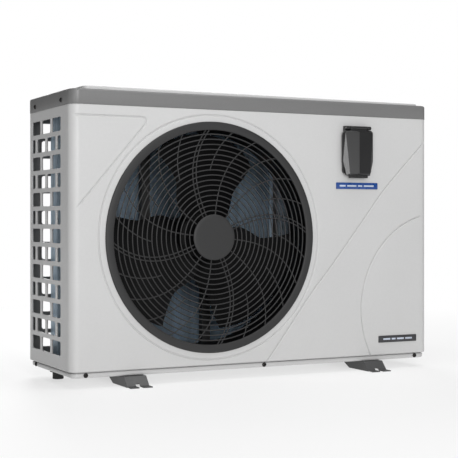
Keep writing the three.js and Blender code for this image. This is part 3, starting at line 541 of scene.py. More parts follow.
def inside(loop, points):
    """Which points lie in a closed loop."""
    loop = np.array(loop)
    hit = np.zeros(len(points), bool)
    x, y = points[:, 0], points[:, 1]
    for (x0, y0), (x1, y1) in zip(loop, np.roll(loop, -1, axis=0)):
        cross = (y0 > y) != (y1 > y)
        if cross.any():
            hit ^= cross & (x < (x1 - x0) * (y - y0) / (y1 - y0 + 1e-12) + x0)
    return hit


def down_to(row, floor):
    """A row of points as far as the place where it crosses a level."""
    below = np.flatnonzero(row[:, 1] <= floor)
    if not len(below):
        return row
    a, b = row[below[0] - 1], row[below[0]]
    return np.vstack([row[:below[0]], a + (b - a) * (a[1] - floor) / (a[1] - b[1])])


def around(loop, gap):
    """The same loop a little larger on every side."""
    loop = np.array(loop)
    middle = (loop.min(axis=0) + loop.max(axis=0)) / 2
    out = loop - middle
    return middle + out * (1 + gap / np.abs(out).max(axis=0))


class Net:
    """Lines in a plane that a flat mesh has to follow."""

    def __init__(self):
        self.points, self.edges = [], []

    def line(self, path, closed=False):
        start = len(self.points)
        self.points.extend(Vector((float(p[0]), float(p[1]))) for p in path)
        self.edges.extend((i, i + 1) for i in range(start, len(self.points) - 1))
        if closed:
            self.edges.append((len(self.points) - 1, start))

    def fill(self, holes, outline=None):
        """Triangles that keep to the lines, stay in the outline and leave the holes open."""
        found, _, faces, *_ = delaunay_2d_cdt(self.points, self.edges, [], 0, 1e-5)
        flat = np.array([tuple(p) for p in found])
        faces = np.array([tuple(f) for f in faces])
        middle = flat[faces].mean(axis=1)
        keep = np.ones(len(faces), bool) if outline is None else inside(outline, middle)
        for hole in holes:
            keep &= ~inside(hole, middle)
        return flat, [tuple(int(i) for i in f) for f in faces[keep]]


def turned_in(fold, hole, lip):
    """The edge of a hole turned inwards: a short slope and a wall."""
    edge = np.array(hole)
    wall = edge + (edge.mean(axis=0) - edge) * 0.012
    return rings([fold.at(*loop.T, np.full(len(loop), depth)).tolist()
                  for loop, depth in ((edge, 0.0), (wall, 0.5), (wall, lip))], first=False, last=False)


def folded_sheet(line, z0, z1, holes=(), grooves=(), lip=0.0):
    """A sheet that follows a line in plan, with grooves and holes. lip is how far the holes turn in."""
    fold = Fold(line)
    bends = fold.u.tolist()
    columns = bends + [u + d for u in bends for d in (-MARGIN, MARGIN)
                       if bends[0] < u + d < bends[-1] and min(abs(u + d - v) for v in bends) > 1.0]
    columns.sort()
    net = Net()
    for u in columns:
        net.line([(u, z0), (u, z1)])
    for z in (z0, z0 + MARGIN, z1 - MARGIN, z1):
        net.line([(u, z) for u in columns])
    for hole in holes:
        net.line(hole, closed=True)
        net.line(around(hole, MARGIN), closed=True)
    for groove in grooves:
        for row in groove.rows():
            net.line(down_to(row, z0), closed=groove.closed)
    flat, faces = net.fill(holes)
    depth = np.zeros(len(flat))
    for groove in grooves:
        depth = np.maximum(depth, groove.depth_at(flat))
    sheet = Shape().add(fold.at(*flat.T, depth).tolist(), faces)
    for hole in holes if lip else ():
        sheet.add(*turned_in(fold, hole, lip))
    return sheet.verts, sheet.faces


def facing(made, toward):
    """Turns an evenly wound sheet so that its outer side is towards the given direction."""
    total = Vector()
    for face in made.data.polygons:
        total += face.normal * face.area
    if total.dot(Vector(toward)) < 0:
        made.data.flip_normals()
    return made


def consistent(made, toward):
    """Winds an open sheet evenly, with its outer side towards the given direction."""
    outward(made)
    return facing(made, toward)


def tray(name, mesh, material, toward, thickness, inner=None, **how):
    """A thin open shell with its outer side towards the given direction."""
    made = piece(name, *mesh, material, **how)
    return thicken(consistent(made, toward), thickness, inner)


def corner_line(points, radii, steps=9):
    """A line in plan with rounded corners. points are its ends and corners, radii one per corner."""
    points = [Vector(p) for p in points]
    line = [points[0]]
    for before, here, after, r in zip(points, points[1:], points[2:], radii):
        a, b = (before - here).normalized(), (after - here).normalized()
        reach = r / math.tan(a.angle(b) / 2)
        p, q = here + a * reach, here + b * reach
        middle = here + (a + b).normalized() * (r / math.sin(a.angle(b) / 2))
        start = math.atan2(p.y - middle.y, p.x - middle.x)
        sweep = (p - middle).angle(q - middle)
        sweep *= 1 if (p - middle).x * (q - middle).y > (p - middle).y * (q - middle).x else -1
        for i in range(steps + 1):
            angle = start + sweep * i / steps
            line.append(middle + Vector((math.cos(angle), math.sin(angle))) * r)
    line.append(points[-1])
    return [tuple(p) for p in line]


# ---------------------------------------------------------------- casing
FRONT_LINE = corner_line(
    [(INSET, RETURN_Y), (INSET, INSET), (WIDTH - INSET, INSET), (WIDTH - INSET, RETURN_Y)],
    [CORNER - INSET, CORNER - INSET],
)
FRONT_FOLD = Fold(FRONT_LINE)
SHEET, THIN_SHEET = 1.4, 1.2
RING_R = 283.0  # the pressed ring round the fan
FAN_HOLE_R = 258.0


# By default a sheet's inner face is near black: painted shade inside the casing.
def panel(node, name, line, toward, holes, grooves=(), lip=0.0, sheet=SHEET, inner="inner_painted_shade",
          angle=35.0):
    """A painted sheet of the panels' height, in place of a CAD node."""
    verts, faces = folded_sheet(line, PANEL_Z0, PANEL_Z1, holes, grooves, lip)
    made = piece(name, verts, faces, "light_paint", replaces=[node], angle=angle)
    thicken(facing(made, toward), sheet, inner)


def on_front(x):
    """Where an X on the flat of the front panel comes along the panel's line."""
    bend = np.argmin(abs(FRONT_FOLD.line[:, 0] - CORNER) + FRONT_FOLD.line[:, 1])
    return x - CORNER + FRONT_FOLD.u[bend]


def front_grooves():
    """The front panel's pressed lines: a corner shield, a ring round the fan, a long slope and an arc."""
    shield = [(on_front(4), 604)] + [(on_front(x), 604) for x in range(20, 171, 10)]
    shield += [(on_front(178), 602.5), (on_front(181.5), 598), (on_front(181), 591)]
    slope = np.linspace((179, 588), (14, 397), 40)
    shield += [(on_front(x), z) for x, z in slope]
    ring = arc_path(on_front(FAN_X), FAN_Z, RING_R, 0, 360)
    bends = ((951, 572), (831, 453), (771, 381), (678, 268), (615, 196), (550, 112), (497, 44), (483, 26))
    long_line = smooth_path([(on_front(x), z) for x, z in bends])
    arc = arc_path(on_front(998), 149.5, 240.0, 104, 211)
    return [
        Groove(smooth_path(shield, 5.0)),
        Groove(ring, closed=True),
        Groove(long_line, half=2.4, depth=3.2, fade=8.0),
        Groove(arc, half=2.4, depth=3.2, fade=8.0),
    ]


def front_panel():
    fan_hole = arc_path(on_front(FAN_X), FAN_Z, FAN_HOLE_R, 0, 360)[:-1]
    low, high = cabinet_box("controller_housing")
    left, right, bottom, top = on_front(low.x + 6), on_front(high.x - 6), low.z + 10, high.z - 20
    control_hole = [(left, bottom), (right, bottom), (right, top), (left, top)]
    panel("front_panel", "front_panel_pressed", FRONT_LINE, (0, -1, 0), [fan_hole, control_hole],
          front_grooves(), angle=50)


GRID_ROWS, GRID_PITCH, GRID_OPEN, GRID_BAR, GRID_LOW = 13, 42.1, 32.5, 8.3, 30


def brick_holes(a, b, columns, along):
    """Rounded openings in brick rows from a to b. along turns such a place into one along the sheet."""
    width = (b - a - GRID_BAR * (columns - 1)) / columns
    holes = []
    for row in range(GRID_ROWS):
        z = PANEL_Z0 + GRID_LOW + row * GRID_PITCH
        shift = (width + GRID_BAR) / 2 if row % 2 else 0
        for i in range(-1, columns + 1):
            low = max(a + i * (width + GRID_BAR) + shift, a)
            high = min(a + i * (width + GRID_BAR) + shift + width, b)
            if high - low > GRID_BAR:
                ends = sorted((along(low), along(high)))
                holes.append(rounded_rect(*ends, z, z + GRID_OPEN, 5.5, 4))
    return holes


def left_guard():
    low, high = cabinet_box("left_side_guard")
    line = [(INSET, high.y), (INSET, low.y)]
    holes = brick_holes(66, 274, 3, lambda y: high.y - y)
    panel("left_side_guard", "left_guard_pressed", line, (-1, 0, 0), holes, lip=4.0, sheet=THIN_SHEET)


def rear_guard():
    low, high = cabinet_box("rear_guard")
    line = corner_line([(high.x, high.y), (low.x, high.y), (low.x, low.y)], [3.4])
    holes = brick_holes(29, 637, 6, lambda x: high.x - x)
    # Its inner face takes the dark band paint: painted shade for the inside seen through the side openings.
    panel("rear_guard", "rear_guard_pressed", line, (0, 1, 0), holes, lip=4.0, sheet=THIN_SHEET,
          inner="band_paint")


HOLD_Z0, HOLD_Z1 = 330, 372  # the hand hold's opening


def rear_service_panel():
    low, high = cabinet_box("rear_service_panel")
    line = corner_line([(high.x, low.y), (high.x, high.y), (low.x, high.y)], [3.4])
    length = Fold(line).u[-1]
    ribs = [Groove([(u, z) for u in np.linspace(40, length - 30, 40)], half=5.0, depth=1.6)
            for z in (120, 150, 180, 210, 480, 510, 540)]
    handle = rounded_rect(length / 2 - 55, length / 2 + 55, HOLD_Z0, HOLD_Z1, 12)
    panel("rear_service_panel", "rear_service_panel_pressed", line, (0, 1, 0), [handle], ribs, lip=10.0)
    middle = (low.x + 2 + high.x) / 2
    steps = ((-6, 2.4), (1, 2.6), (3, 9.0), (6, 15.0), (14, 18.0))
    cup = stepped((middle - 57, 0, HOLD_Z0), (middle + 57, 0, HOLD_Z1), "y",
                  [(inset, high.y - depth) for inset, depth in steps], (12, 1, 3), first=False)
    tray("rear_hand_hold", cup, "band_paint", (0, 1, 0), THIN_SHEET)


def right_side_panel():
    low, high = cabinet_box("right_side_panel")
    line = [(high.x, low.y), (high.x, high.y)]
    holes = []
    for name in ("inlet_socket", "outlet_socket"):
        a, b = cabinet_box(name)
        holes.append(arc_path((a.y + b.y) / 2 - low.y, (a.z + b.z) / 2, 33.5, 0, 360, 5.0)[:-1])
    a, b = cabinet_box("terminal_cover")
    holes.append(rounded_rect(a.y + 10 - low.y, b.y - 10 - low.y, a.z + 10, b.z - 10, 3))
    rim = rounded_rect(14, high.y - low.y - 14, PANEL_Z0 + 30, PANEL_Z1 - 22, 10)
    edge = Groove(rim + rim[:1], closed=True)
    panel("right_side_panel", "right_panel_pressed", line, (1, 0, 0), holes, [edge])


def top_band():
    """The dark frame round the top: an upright skirt, a rounded edge and a flat flange under the lid."""
    section = [(0, BAND_Z0 + 0.6), (0.3, BAND_Z0), (2.2, BAND_Z0), (2.2, BAND_Z1 - 4), (4.5, BAND_Z1 - 1.8),
               (30, BAND_Z1 - 1.8), (30, BAND_Z1)]
    for i in range(7):
        a = math.radians(90 - 15 * i)
        section.append((5 - 5 * math.cos(a), BAND_Z1 - 5 + 5 * math.sin(a)))
    wide = 50.0  # the flange reaches further in at the left, under the lid's end
    loops = [[(max(x, wide) if inset == 30 else x, y, z) for x, y in casing_loop(inset)]
             for inset, z in section]
    band = Shape().add(*rings(loops, closed_along=True))
    band.make("top_band_formed", "band_paint", replaces=["top_band"], angle=40)


def top_lid():
    """A pale pressed lid that is highest in the middle of its length."""
    low, high = cabinet_box("top_lid")
    places = (low.x, low.x + 180, 500, high.x - 160, high.x)
    crown = (0.82, 0.95, 1.0, 0.74, 0.5)
    section = [(1.4, 0.0), (0, 0.0), (0, 0.6), (0.3, 0.74), (1.1, 0.83), (2.6, 0.86), (24, 0.9),
               (25.5, 0.8), (27.5, 0.68), (30, 0.66), (60, 0.72), (95, 0.82), (118, 0.86)]
    verts, faces = stepped(low, high, "z", section, (14, 0.4, 3), 8, first=False)
    rise = high.z - low.z
    verts = [(x, y, low.z + rise * part * float(np.interp(x, places, crown))) for x, y, part in verts]
    # Its inner face is near black: painted shade under the lid.
    tray("top_lid_pressed", (verts, faces), "light_paint", (0, 0, 1), THIN_SHEET, "inner_painted_shade",
         replaces=["top_lid"], angle=50)


def base_pan():
    low, high = cabinet_box("base_pan")
    section = [(3.4, high.z), (3.4, PANEL_Z0 - 2.6), (2.2, PANEL_Z0 - 3.4), (0.6, PANEL_Z0 - 3.8),
               (0, PANEL_Z0 - 4.8), (0, low.z + 3.5), (0.9, low.z + 1.2), (3.2, low.z), (9, low.z),
               (11, low.z + 1.2), (20, low.z + 1.6)]
    loops = [[(x, y, z) for x, y in casing_loop(low.x + inset)] for inset, z in section]
    tray("base_pan_folded", rings(loops, first=False), "light_paint", (0, 0, -1), SHEET,
         replaces=["base_pan"], angle=45)


FOOT_TOE, FOOT_SLOPE, FOOT_SLOT, FOOT_SHEET = 20.0, 18.0, 24.0, 2.4
FOOT_DEEP, FOOT_RAISED = 105.0, 13.0


def foot(name):
    """A pressed channel rail, shallower along its middle. Each end slopes down to a slotted toe."""
    low, high = cabinet_box(name)
    middle = (low.x + high.x) / 2
    floor, toe, top = 0.2, FOOT_SHEET + 0.2, high.z
    slot_top = toe + (top - toe) * (FOOT_SLOT - FOOT_TOE) / FOOT_SLOPE
    front = [(low.y, toe), (low.y + FOOT_TOE, toe), (low.y + FOOT_SLOT, slot_top),
             (low.y + FOOT_TOE + FOOT_SLOPE, top)]
    spine = front + [(low.y + high.y - y, z) for y, z in reversed(front)]
    columns = [low.x, middle - 5, middle + 5, high.x]
    verts = [(x, y, z) for y, z in spine for x in columns]
    row = len(columns)
    faces = []
    for i in range(len(spine) - 1):
        for j in range(row - 1):
            in_slot = j == 1 and (i < 2 or i > len(spine) - 4)
            if not in_slot:
                a = i * row + j
                faces.append((a, a + 1, a + 1 + row, a + row))
    for j in (0, row - 1):
        under = [(FOOT_TOE, floor), (FOOT_DEEP, floor), (FOOT_DEEP + 25, FOOT_RAISED)]
        ends = [(columns[j], high.y - y, z) for y, z in under]
        ends += [(columns[j], low.y + y, z) for y, z in reversed(under)]
        along_top = tuple(i * row + j for i in range(1, len(spine) - 1))
        faces.append(along_top + tuple(range(len(verts), len(verts) + len(ends))))
        verts += ends
    rail = tray(f"{name}_channel", (verts, faces), "foot_paint", (0, 0, 1), FOOT_SHEET,
                replaces=[name], angle=30)
    soften(rail, 0.7, 3)


SCREW_HEAD = ((1.0, 0.0), (1.0, 0.25), (0.92, 0.55), (0.72, 0.85), (0.52, 1.0))
SCREW_SOCKET = ((0.44, 0.98), (0.42, 0.3))


def screw(shape, centre, axis, sign, radius, height):
    """A button-head screw with a hexagon socket. sign says which way along the axis its head faces."""
    along, across, up = AXES[axis]
    angles = [math.radians(15 * i) for i in range(24)]
    corners = [1 / math.cos((a + math.pi / 6) % (math.pi / 3) - math.pi / 6) for a in angles]
    loops = []
    for profile, reach in ((SCREW_HEAD, [1.0] * len(angles)), (SCREW_SOCKET, corners)):
        for r, d in profile:
            middle = Vector(centre) + along * sign * d * height
            loops.append([middle + (across * math.cos(a) + up * math.sin(a)) * r * radius * c
                          for a, c in zip(angles, reach)])
    shape.add(*rings(loops))


def fasteners():
    for name, axis in (("lip_screw_left", "y"), ("lip_screw_middle", "y"), ("lip_screw_right", "y"),
                       ("band_screw_front", "x"), ("band_screw_rear", "x"), ("lip_screw_side", "x")):
        low, high = cabinet_box(name)
        foot_of_head = (low + high) / 2
        foot_of_head["xyz".index(axis)] = high["xyz".index(axis)]
        shape = Shape()
        screw(shape, foot_of_head, axis, -1, 5.4, 2.9)
        shape.make(f"{name}_head", "screw", replaces=[name])
    hidden = Shape()
    split = cabinet_box("rear_guard")[1].x
    back, side = DEPTH - INSET - 0.1, WIDTH - INSET - 0.1
    for x in (14, 330, split - 8, split + 12, WIDTH - 14):
        for z in (PANEL_Z0 + 12, PANEL_Z1 - 10):
            screw(hidden, (x, back, z), "y", 1, 4.0, 1.8)
    for y in (RETURN_Y + 10, DEPTH - 24):
        for z in (PANEL_Z0 + 14, 330, PANEL_Z1 - 10):
            screw(hidden, (side, y, z), "x", 1, 4.0, 1.8)
    hidden.make("panel_screws", "screw")


# ---------------------------------------------------------------- fan
CAP_R = 53.0
RIM_R = 248.5
WIRE = 1.45  # radius of the guard's wires
RING_START, RING_PITCH, RING_COUNT = 61.9, 11.8, 16
SPOKE_START, SPOKE_SWEEP = math.radians(24.5), math.radians(-21.0)
SPOKES, SPOKE_STEPS, SPOKE_END = 12, 26, 253
HUB_R, TIP_R = 56.0, 243.0


def guard_spoke(start, r0, y, offset=0.0):
    """A swept wire from a radius to the rim. offset sets it aside from its middle line."""
    line = []
    for k in range(SPOKE_STEPS + 1):
        r = r0 + (SPOKE_END - r0) * k / SPOKE_STEPS
        a = start + SPOKE_SWEEP * (max(r - CAP_R, 0) / (RIM_R - CAP_R)) ** 1.85 + offset / r
        line.append((FAN_X + r * math.cos(a), y, FAN_Z + r * math.sin(a)))
    return tube(line, WIRE)


def fan_guard():
    front, back = GUARD_LOW.y, GUARD_HIGH.y
    ring_y = front + WIRE + 0.1
    spoke_y = ring_y + 2 * WIRE - 0.3
    wires = Shape()
    for i in range(RING_COUNT):
        r, count = RING_START + RING_PITCH * i, 96 + 4 * i
        angles = [2 * math.pi * k / count for k in range(count)]
        circle = [(FAN_X + r * math.cos(a), ring_y, FAN_Z + r * math.sin(a)) for a in angles]
        wires.add(*tube(circle, WIRE, closed=True))
    for i in range(SPOKES):
        start = SPOKE_START + 2 * math.pi * i / SPOKES
        for offset in ((-4.5, 4.5) if i % 3 == 0 else (0.0,)):
            wires.add(*guard_spoke(start, 44, spoke_y, offset))
        wires.add(*guard_spoke(start + math.pi / SPOKES, 155, spoke_y))
    wires.make("fan_guard_wires", "guard_black")
    rim = [(GUARD_R, back), (GUARD_R, front + 1.6), (GUARD_R - 0.8, front + 0.5), (GUARD_R - 2.4, front),
           (RIM_R + 2.6, front), (RIM_R + 0.8, front + 0.6), (RIM_R, front + 1.8), (RIM_R, back)]
    lathe("fan_guard_rim", "guard_black", "y", FAN, rim, 160, replaces=["fan_guard"], angle=50)
    low, high = cabinet_box("guard_cap")
    cap = [(0, low.y), (CAP_R - 9, low.y), (CAP_R - 3.5, low.y + 0.15), (CAP_R - 1.2, low.y + 0.8),
           (CAP_R, low.y + 2.0), (CAP_R, high.y - 1.0), (CAP_R - 9, high.y), (0, high.y)]
    lathe("guard_cap_pressed", "guard_black", "y", FAN, cap, 96, closed=False, replaces=["guard_cap"])


def fan_duct():
    low, high = cabinet_box("fan_shroud")
    r = (high.x - low.x) / 2 - 34
    y0, y1 = low.y, high.y
    flange = RING_R - 5
    profile = [(r, y0), (flange, y0), (flange, y0 + 2), (r + 8, y0 + 2), (r + 3.6, y0 + 5),
               (r + 2.5, y0 + 10), (r + 2.5, y1 - 10), (r + 4.5, y1 - 4.5), (r + 11, y1 - 1.6),
               (r + 12, y1), (r + 8, y1 - 0.3), (r + 2.6, y1 - 3.4), (r, y1 - 9)]
    lathe("fan_duct_moulded", "fan_black", "y", FAN, profile, 128, replaces=["fan_shroud"])


def blade(turn, middle):
    """One swept, twisted and cambered fan blade with thin rounded edges, wide at its root."""
    across, along = 26, 18
    sides = []
    for side in (1, -1):
        rows = []
        for i in range(along + 1):
            t = i / along
            narrow = min(max((t - 0.1) / 0.45, 0.0), 1.0)
            half = math.radians(56 - 20.5 * narrow * narrow * (3 - 2 * narrow) + 2 * t)
            lean = math.radians(4 * t * t)
            row = []
            for j in range(across + 1):
                u = 2 * j / across - 1
                a = turn + lean + half * u
                thick = 2.6 * (1 - 0.85 * abs(u) ** 5) * (1 - 0.4 * t)
                y = middle - (27 + 6 * t) * u * 0.96 - 6.5 * (1 - u * u) + side * thick / 2
                r = HUB_R + (TIP_R - HUB_R) * t - 10 * u ** 4 * max(0, t - 0.85) / 0.15
                row.append((FAN_X + r * math.cos(a), y, FAN_Z + r * math.sin(a)))
            rows.append(row)
        sides.append(rows)
    return rings([front + back[::-1] for front, back in zip(*sides)])


def fan_rotor():
    low, high = cabinet_box("fan_rotor")
    shape = Shape()
    for i in range(3):
        shape.add(*blade(math.radians(201 + 120 * i), (low.y + high.y) / 2))
    y0, y1 = low.y + (high.y - low.y) * 0.16, high.y
    hub = [(7, y0 + 9), (16, y0 + 8), (18, y0 + 5), (46, y0 + 0.5), (55, y0 + 2.5), (59, y0 + 7),
           (60, y0 + 14), (60, y1 - 2), (59, y1), (56, y1), (56, y0 + 16), (22, y0 + 16), (22, y1 - 10),
           (7, y1 - 10)]
    shape.add(*turned("y", FAN, hub, 72))
    ribs = [[(21, s, y0 + 15), (57, s, y0 + 15), (57, s, y1 - 8), (21, s, y1 - 12)] for s in (-1.2, 1.2)]
    spread(shape, "y", FAN, 9, ribs, math.radians(90))
    made = shape.make("fan_rotor_moulded", "fan_black", body="fan", replaces=["fan_rotor"], angle=40)
    soften(made, 0.5, 2, 50)


def fan_nut():
    low, high = cabinet_box("fan_nut")
    y0, y1 = low.y, high.y
    flats = [(6.4, y0), (9.2, y0), (10.7, y0 + 1), (10.7, y1 - 2.4), (9.2, y1 - 2), (6.4, y1 - 2)]
    washer = [(6.4, y1 - 1.8), (15, y1 - 1.8), (15, y1), (6.4, y1)]
    shape = Shape().add(*turned("y", FAN, flats, 6)).add(*turned("y", FAN, washer, 40))
    shape.make("fan_nut_and_washer", "steel", body="fan", replaces=["fan_nut"], angle=25)


def fan_motor():
    low, high = cabinet_box("fan_motor")
    r = (high.x - low.x) / 2
    y0, y1 = low.y, high.y
    profile = [(0, y0), (14, y0), (15, y0 + 1), (20, y0 + 1), (22, y0 + 5), (r - 7, y0 + 9),
               (r - 2, y0 + 13), (r - 1, y0 + 20), (r, y0 + 22), (r, y1 - 18), (r - 1, y1 - 16),
               (r - 1, y1 - 8), (r - 4, y1 - 3), (r - 9, y1), (0, y1)]
    shape = Shape().add(*turned("y", FAN, profile, 72, closed=False))
    rib = [[(r - 6, -1.3, y), (r - 1.2, -1.0, y), (r - 1.2, 1.0, y), (r - 6, 1.3, y)]
           for y in (y0 + 14, y1 - 6)]
    spread(shape, "y", FAN, 24, rib)
    shape.make("fan_motor_ribbed", "compressor_black", replaces=["fan_motor"])


# ---------------------------------------------------------------- coil
FIN_PITCH, FIN_THICK = 2.6, 0.45
TUBE_ROWS, TUBE_R = 22, 4.2


def evaporator():
    low, high = cabinet_box("evaporator_fins")
    fins = Shape()
    for i in range(int((high.x - low.x) / FIN_PITCH)):
        x = low.x + FIN_PITCH * (i + 0.5)
        fins.add(*block((x - FIN_THICK / 2, low.y, low.z), (x + FIN_THICK / 2, high.y, high.z)))
    fins.make("coil_fins", "blue_fin", replaces=["evaporator_fins"])
    tubes = Shape()
    for share, shift in ((0.27, 0.25), (0.73, 0.75)):
        y = low.y + (high.y - low.y) * share
        for i in range(TUBE_ROWS):
            z = low.z + (high.z - low.z) * (i + shift) / TUBE_ROWS
            tubes.add(*tube([(low.x + 0.5, y, z), (high.x + 3, y, z)], TUBE_R, 12))
    tubes.make("coil_tubes", "copper")


# ---------------------------------------------------------------- water unions and terminals
def water_union(name):
    """A pipe socket and its ribbed union nut."""
    low, high = cabinet_box(f"{name}_socket")
    centre = (0, (low.y + high.y) / 2, (low.z + high.z) / 2)
    x0, x1 = low.x, high.x
    socket = [(20, x0), (34, x0), (34, x0 + 5), (30, x0 + 7), (30, x1), (26, x1), (25.1, x1 - 1.2),
              (25, x0 + 12), (20, x0 + 12)]
    lathe(f"{name}_socket_moulded", "pvc", "x", centre, socket, 64, replaces=[f"{name}_socket"])
    low, high = cabinet_box(f"{name}_nut")
    n0, n1 = low.x, high.x
    nut = [(35.5, n0), (41, n0), (42, n0 + 1), (42, n1 - 6), (39, n1 - 1.2), (37, n1), (31.2, n1),
           (31, n1 - 1), (31, x0 + 8), (35.5, x0 + 5.6)]
    lathe(f"{name}_nut_moulded", "pvc", "x", centre, nut, 64, replaces=[f"{name}_nut"])
    ribs = Shape()
    loops = [[(41, -4.6, x), (r - 0.6, -3.8, x), (r, -2.6, x), (r, 2.6, x), (r - 0.6, 3.8, x), (41, 4.6, x)]
             for x, r in ((n0 + 1.2, 43.5), (n0 + 2.4, 44), (n1 - 9, 44), (n1 - 7, 42))]
    spread(ribs, "x", centre, 8, loops, math.radians(22.5))
    ribs.make(f"{name}_nut_ribs", "pvc")


def terminal_cover():
    low, high = cabinet_box("terminal_cover")
    front = high.x
    section = [(0, low.x), (0, front - 4), (0.8, front - 2), (2.4, front - 0.6), (5, front), (14, front),
               (15, front - 1.2), (17, front - 1.4)]
    shell = stepped(low, high, "x", section, (7, 0.3, 2), first=False)
    tray("terminal_cover_moulded", shell, "band_paint", (1, 0, 0), 1.8, replaces=["terminal_cover"])
    heads = Shape()
    for z in (low.z + 9, high.z - 9):
        screw(heads, (front - 1.2, (low.y + high.y) / 2, z), "x", 1, 3.6, 1.2)
    heads.make("terminal_cover_screws", "screw")


def cable_gland():
    low, high = cabinet_box("cable_gland")
    centre = ((low.x + high.x) / 2, (low.y + high.y) / 2, low.z)
    profile = [(3.5, 0.5), (4.2, 0), (6.5, 0), (7.8, 2), (8.6, 6), (8.6, 12), (7.6, 13), (7.6, 15),
               (8.7, 15.4), (8.7, 25.6), (5.8, 25.6), (5.8, 34), (3.5, 34)]
    shape = Shape().add(*turned("z", centre, profile, 36))
    rib = [[(8.2, -0.9, z), (8.8, -0.4, z), (8.8, 0.4, z), (8.2, 0.9, z)] for z in (4, 12)]
    spread(shape, "z", centre, 18, rib)
    shape.make("cable_gland_moulded", "rubber", replaces=["cable_gland"])


def drain_nozzle():
    low, high = cabinet_box("drain_nozzle")
    centre = ((low.x + high.x) / 2, (low.y + high.y) / 2, 0)
    z0, z1 = low.z, high.z
    flange = (high.x - low.x) / 2
    r = flange - 6
    profile = [(r - 2, z0), (r - 0.6, z0), (r, z0 + 1), (r, z0 + 3), (r - 0.6, z0 + 4), (r, z0 + 5),
               (r, z0 + 7), (r - 0.6, z0 + 8), (r, z0 + 9), (r, z1 - 3.2), (flange - 1.4, z1 - 3),
               (flange - 0.2, z1 - 2.2), (flange, z1), (r - 2, z1)]
    lathe("drain_nozzle_moulded", "rubber", "z", centre, profile, 40, replaces=["drain_nozzle"])


# ---------------------------------------------------------------- controller
CLEAR = 0.4  # the gap round the screen and the keys
EAR_IN, EAR_OUT = 25, 36  # the housing's hinge ears, out from its middle
KNUCKLE = 24  # half the width of the cover's knuckle
HINGE_BORE_R, HINGE_R = 2.05, 4.4
RIDGE_X, SHOULDER_DROP, RIM_DROP = -3.5, 6.0, 12.0


def hinge_line():
    """The hinge pin's place in Y and Z."""
    low, high = cabinet_box("hinge_pin")
    return (low.y + high.y) / 2, (low.z + high.z) / 2


def knuckle(x0, x1):
    """A sleeve round the hinge pin."""
    profile = [(HINGE_BORE_R, x0), (HINGE_R, x0), (HINGE_R, x1), (HINGE_BORE_R, x1)]
    return turned("x", (0, *hinge_line()), profile, 32)


def controller():
    """The housing under the cover: its face, screen and four keys, and the body with the hinge's ears."""
    low, high = cabinet_box("controller_housing")
    glass_low, glass_high = cabinet_box("controller_screen")
    keys = {name: cabinet_box(name) for name in ("power_key", "mode_key", "up_key", "down_key")}
    face_y = glass_low.y + 0.4
    openings = [(glass_low, glass_high, 1.2, 3)] + [(a, b, 2.4, 4) for a, b in keys.values()]
    holes = [rounded_rect(a.x - CLEAR, b.x + CLEAR, a.z - CLEAR, b.z + CLEAR, radius, steps)
             for a, b, radius, steps in openings]
    outline = rounded_rect(low.x, high.x, low.z, high.z - 16.4, 8)
    net = Net()
    for loop in (outline, *holes):
        net.line(loop, closed=True)
    flat, faces = net.fill(holes, outline)
    plate = tray("controller_face", ([(x, face_y, z) for x, z in flat], faces), "control_black",
                 (0, -1, 0), 2.6, replaces=["controller_housing"])
    soften(plate, 0.5, 2)

    x = (low.x + high.x) / 2
    pin_y, pin_z = hinge_line()
    skirt = rounded_rect(low.x + 1, high.x - 1, low.z + 1, high.z - 17.4, 7)
    body = Shape().add(*rings([[(a, y, c) for a, c in skirt] for y in (face_y + 2.7, 0.1)]))
    for xa, xb in ((x - EAR_OUT, x - EAR_IN), (x + EAR_IN, x + EAR_OUT)):
        body.add(*knuckle(xa, xb))
        body.add(*block((xa, pin_y + 3.8, pin_z - 4.2), (xb, 0.1, pin_z + 4.2)))
    body.add(*block((x - EAR_OUT, -4, high.z - 16.4), (x + EAR_OUT, 0.1, high.z)))
    soften(body.make("controller_body", "control_black"), 0.5, 2, 50)

    front, back = glass_low.y, glass_high.y
    section = ((0, back), (0, front + 0.5), (0.4, front + 0.1), (0.9, front))
    glass = Shape().add(*stepped(glass_low, glass_high, "y", section, (1.5, 0, 0)))
    glass.make("controller_glass", "screen", replaces=["controller_screen"])
    for name, (a, b) in keys.items():
        section = ((0, b.y), (0, a.y + 1.2), (0.4, a.y + 0.4), (1.3, a.y))
        cap = Shape().add(*stepped(a, b, "y", section, (2.2, 0.3, 0.8), 5))
        cap.make(f"{name}_cap", "key", body=name.replace("_key", "_button"), replaces=[name])


def cover_hull(w, back, front, top, bottom):
    """The cover's outer faces: an upright ridge, sloping shoulders and a rim, open at the back."""
    rim = [(-w + 6, top), (w - 6, top), (w, top - 9), (w, bottom + 36), (w - 9, bottom), (-w + 9, bottom),
           (-w, bottom + 36), (-w, top - 9)]
    shoulders = [(-w + 4, top - 5), (-w + 17, bottom + 4), (w - 5, top - 5), (w - 12, bottom + 4)]
    points = [(x, y, z) for x, z in rim for y in (back, front + RIM_DROP)]
    points += [(x, front + SHOULDER_DROP, z) for x, z in shoulders]
    points += [(RIDGE_X, front, top - 5), (RIDGE_X, front, bottom + 4),
               (9 - w, front + RIM_DROP - 1.8, bottom)]
    bm = bmesh.new()
    for point in points:
        bm.verts.new(point)
    hull = bmesh.ops.convex_hull(bm, input=bm.verts)
    inner = {v for v in hull["geom_interior"] + hull["geom_unused"] if isinstance(v, bmesh.types.BMVert)}
    bmesh.ops.delete(bm, geom=list(inner), context="VERTS")
    behind = [f for f in bm.faces if all(abs(v.co.y - back) < 1e-3 for v in f.verts)]
    bmesh.ops.delete(bm, geom=behind, context="FACES_ONLY")
    bmesh.ops.dissolve_limit(bm, angle_limit=math.radians(2), verts=bm.verts, edges=bm.edges)
    bm.verts.index_update()
    made = [v.co.copy() for v in bm.verts], [tuple(v.index for v in f.verts) for f in bm.faces]
    bm.free()
    return made


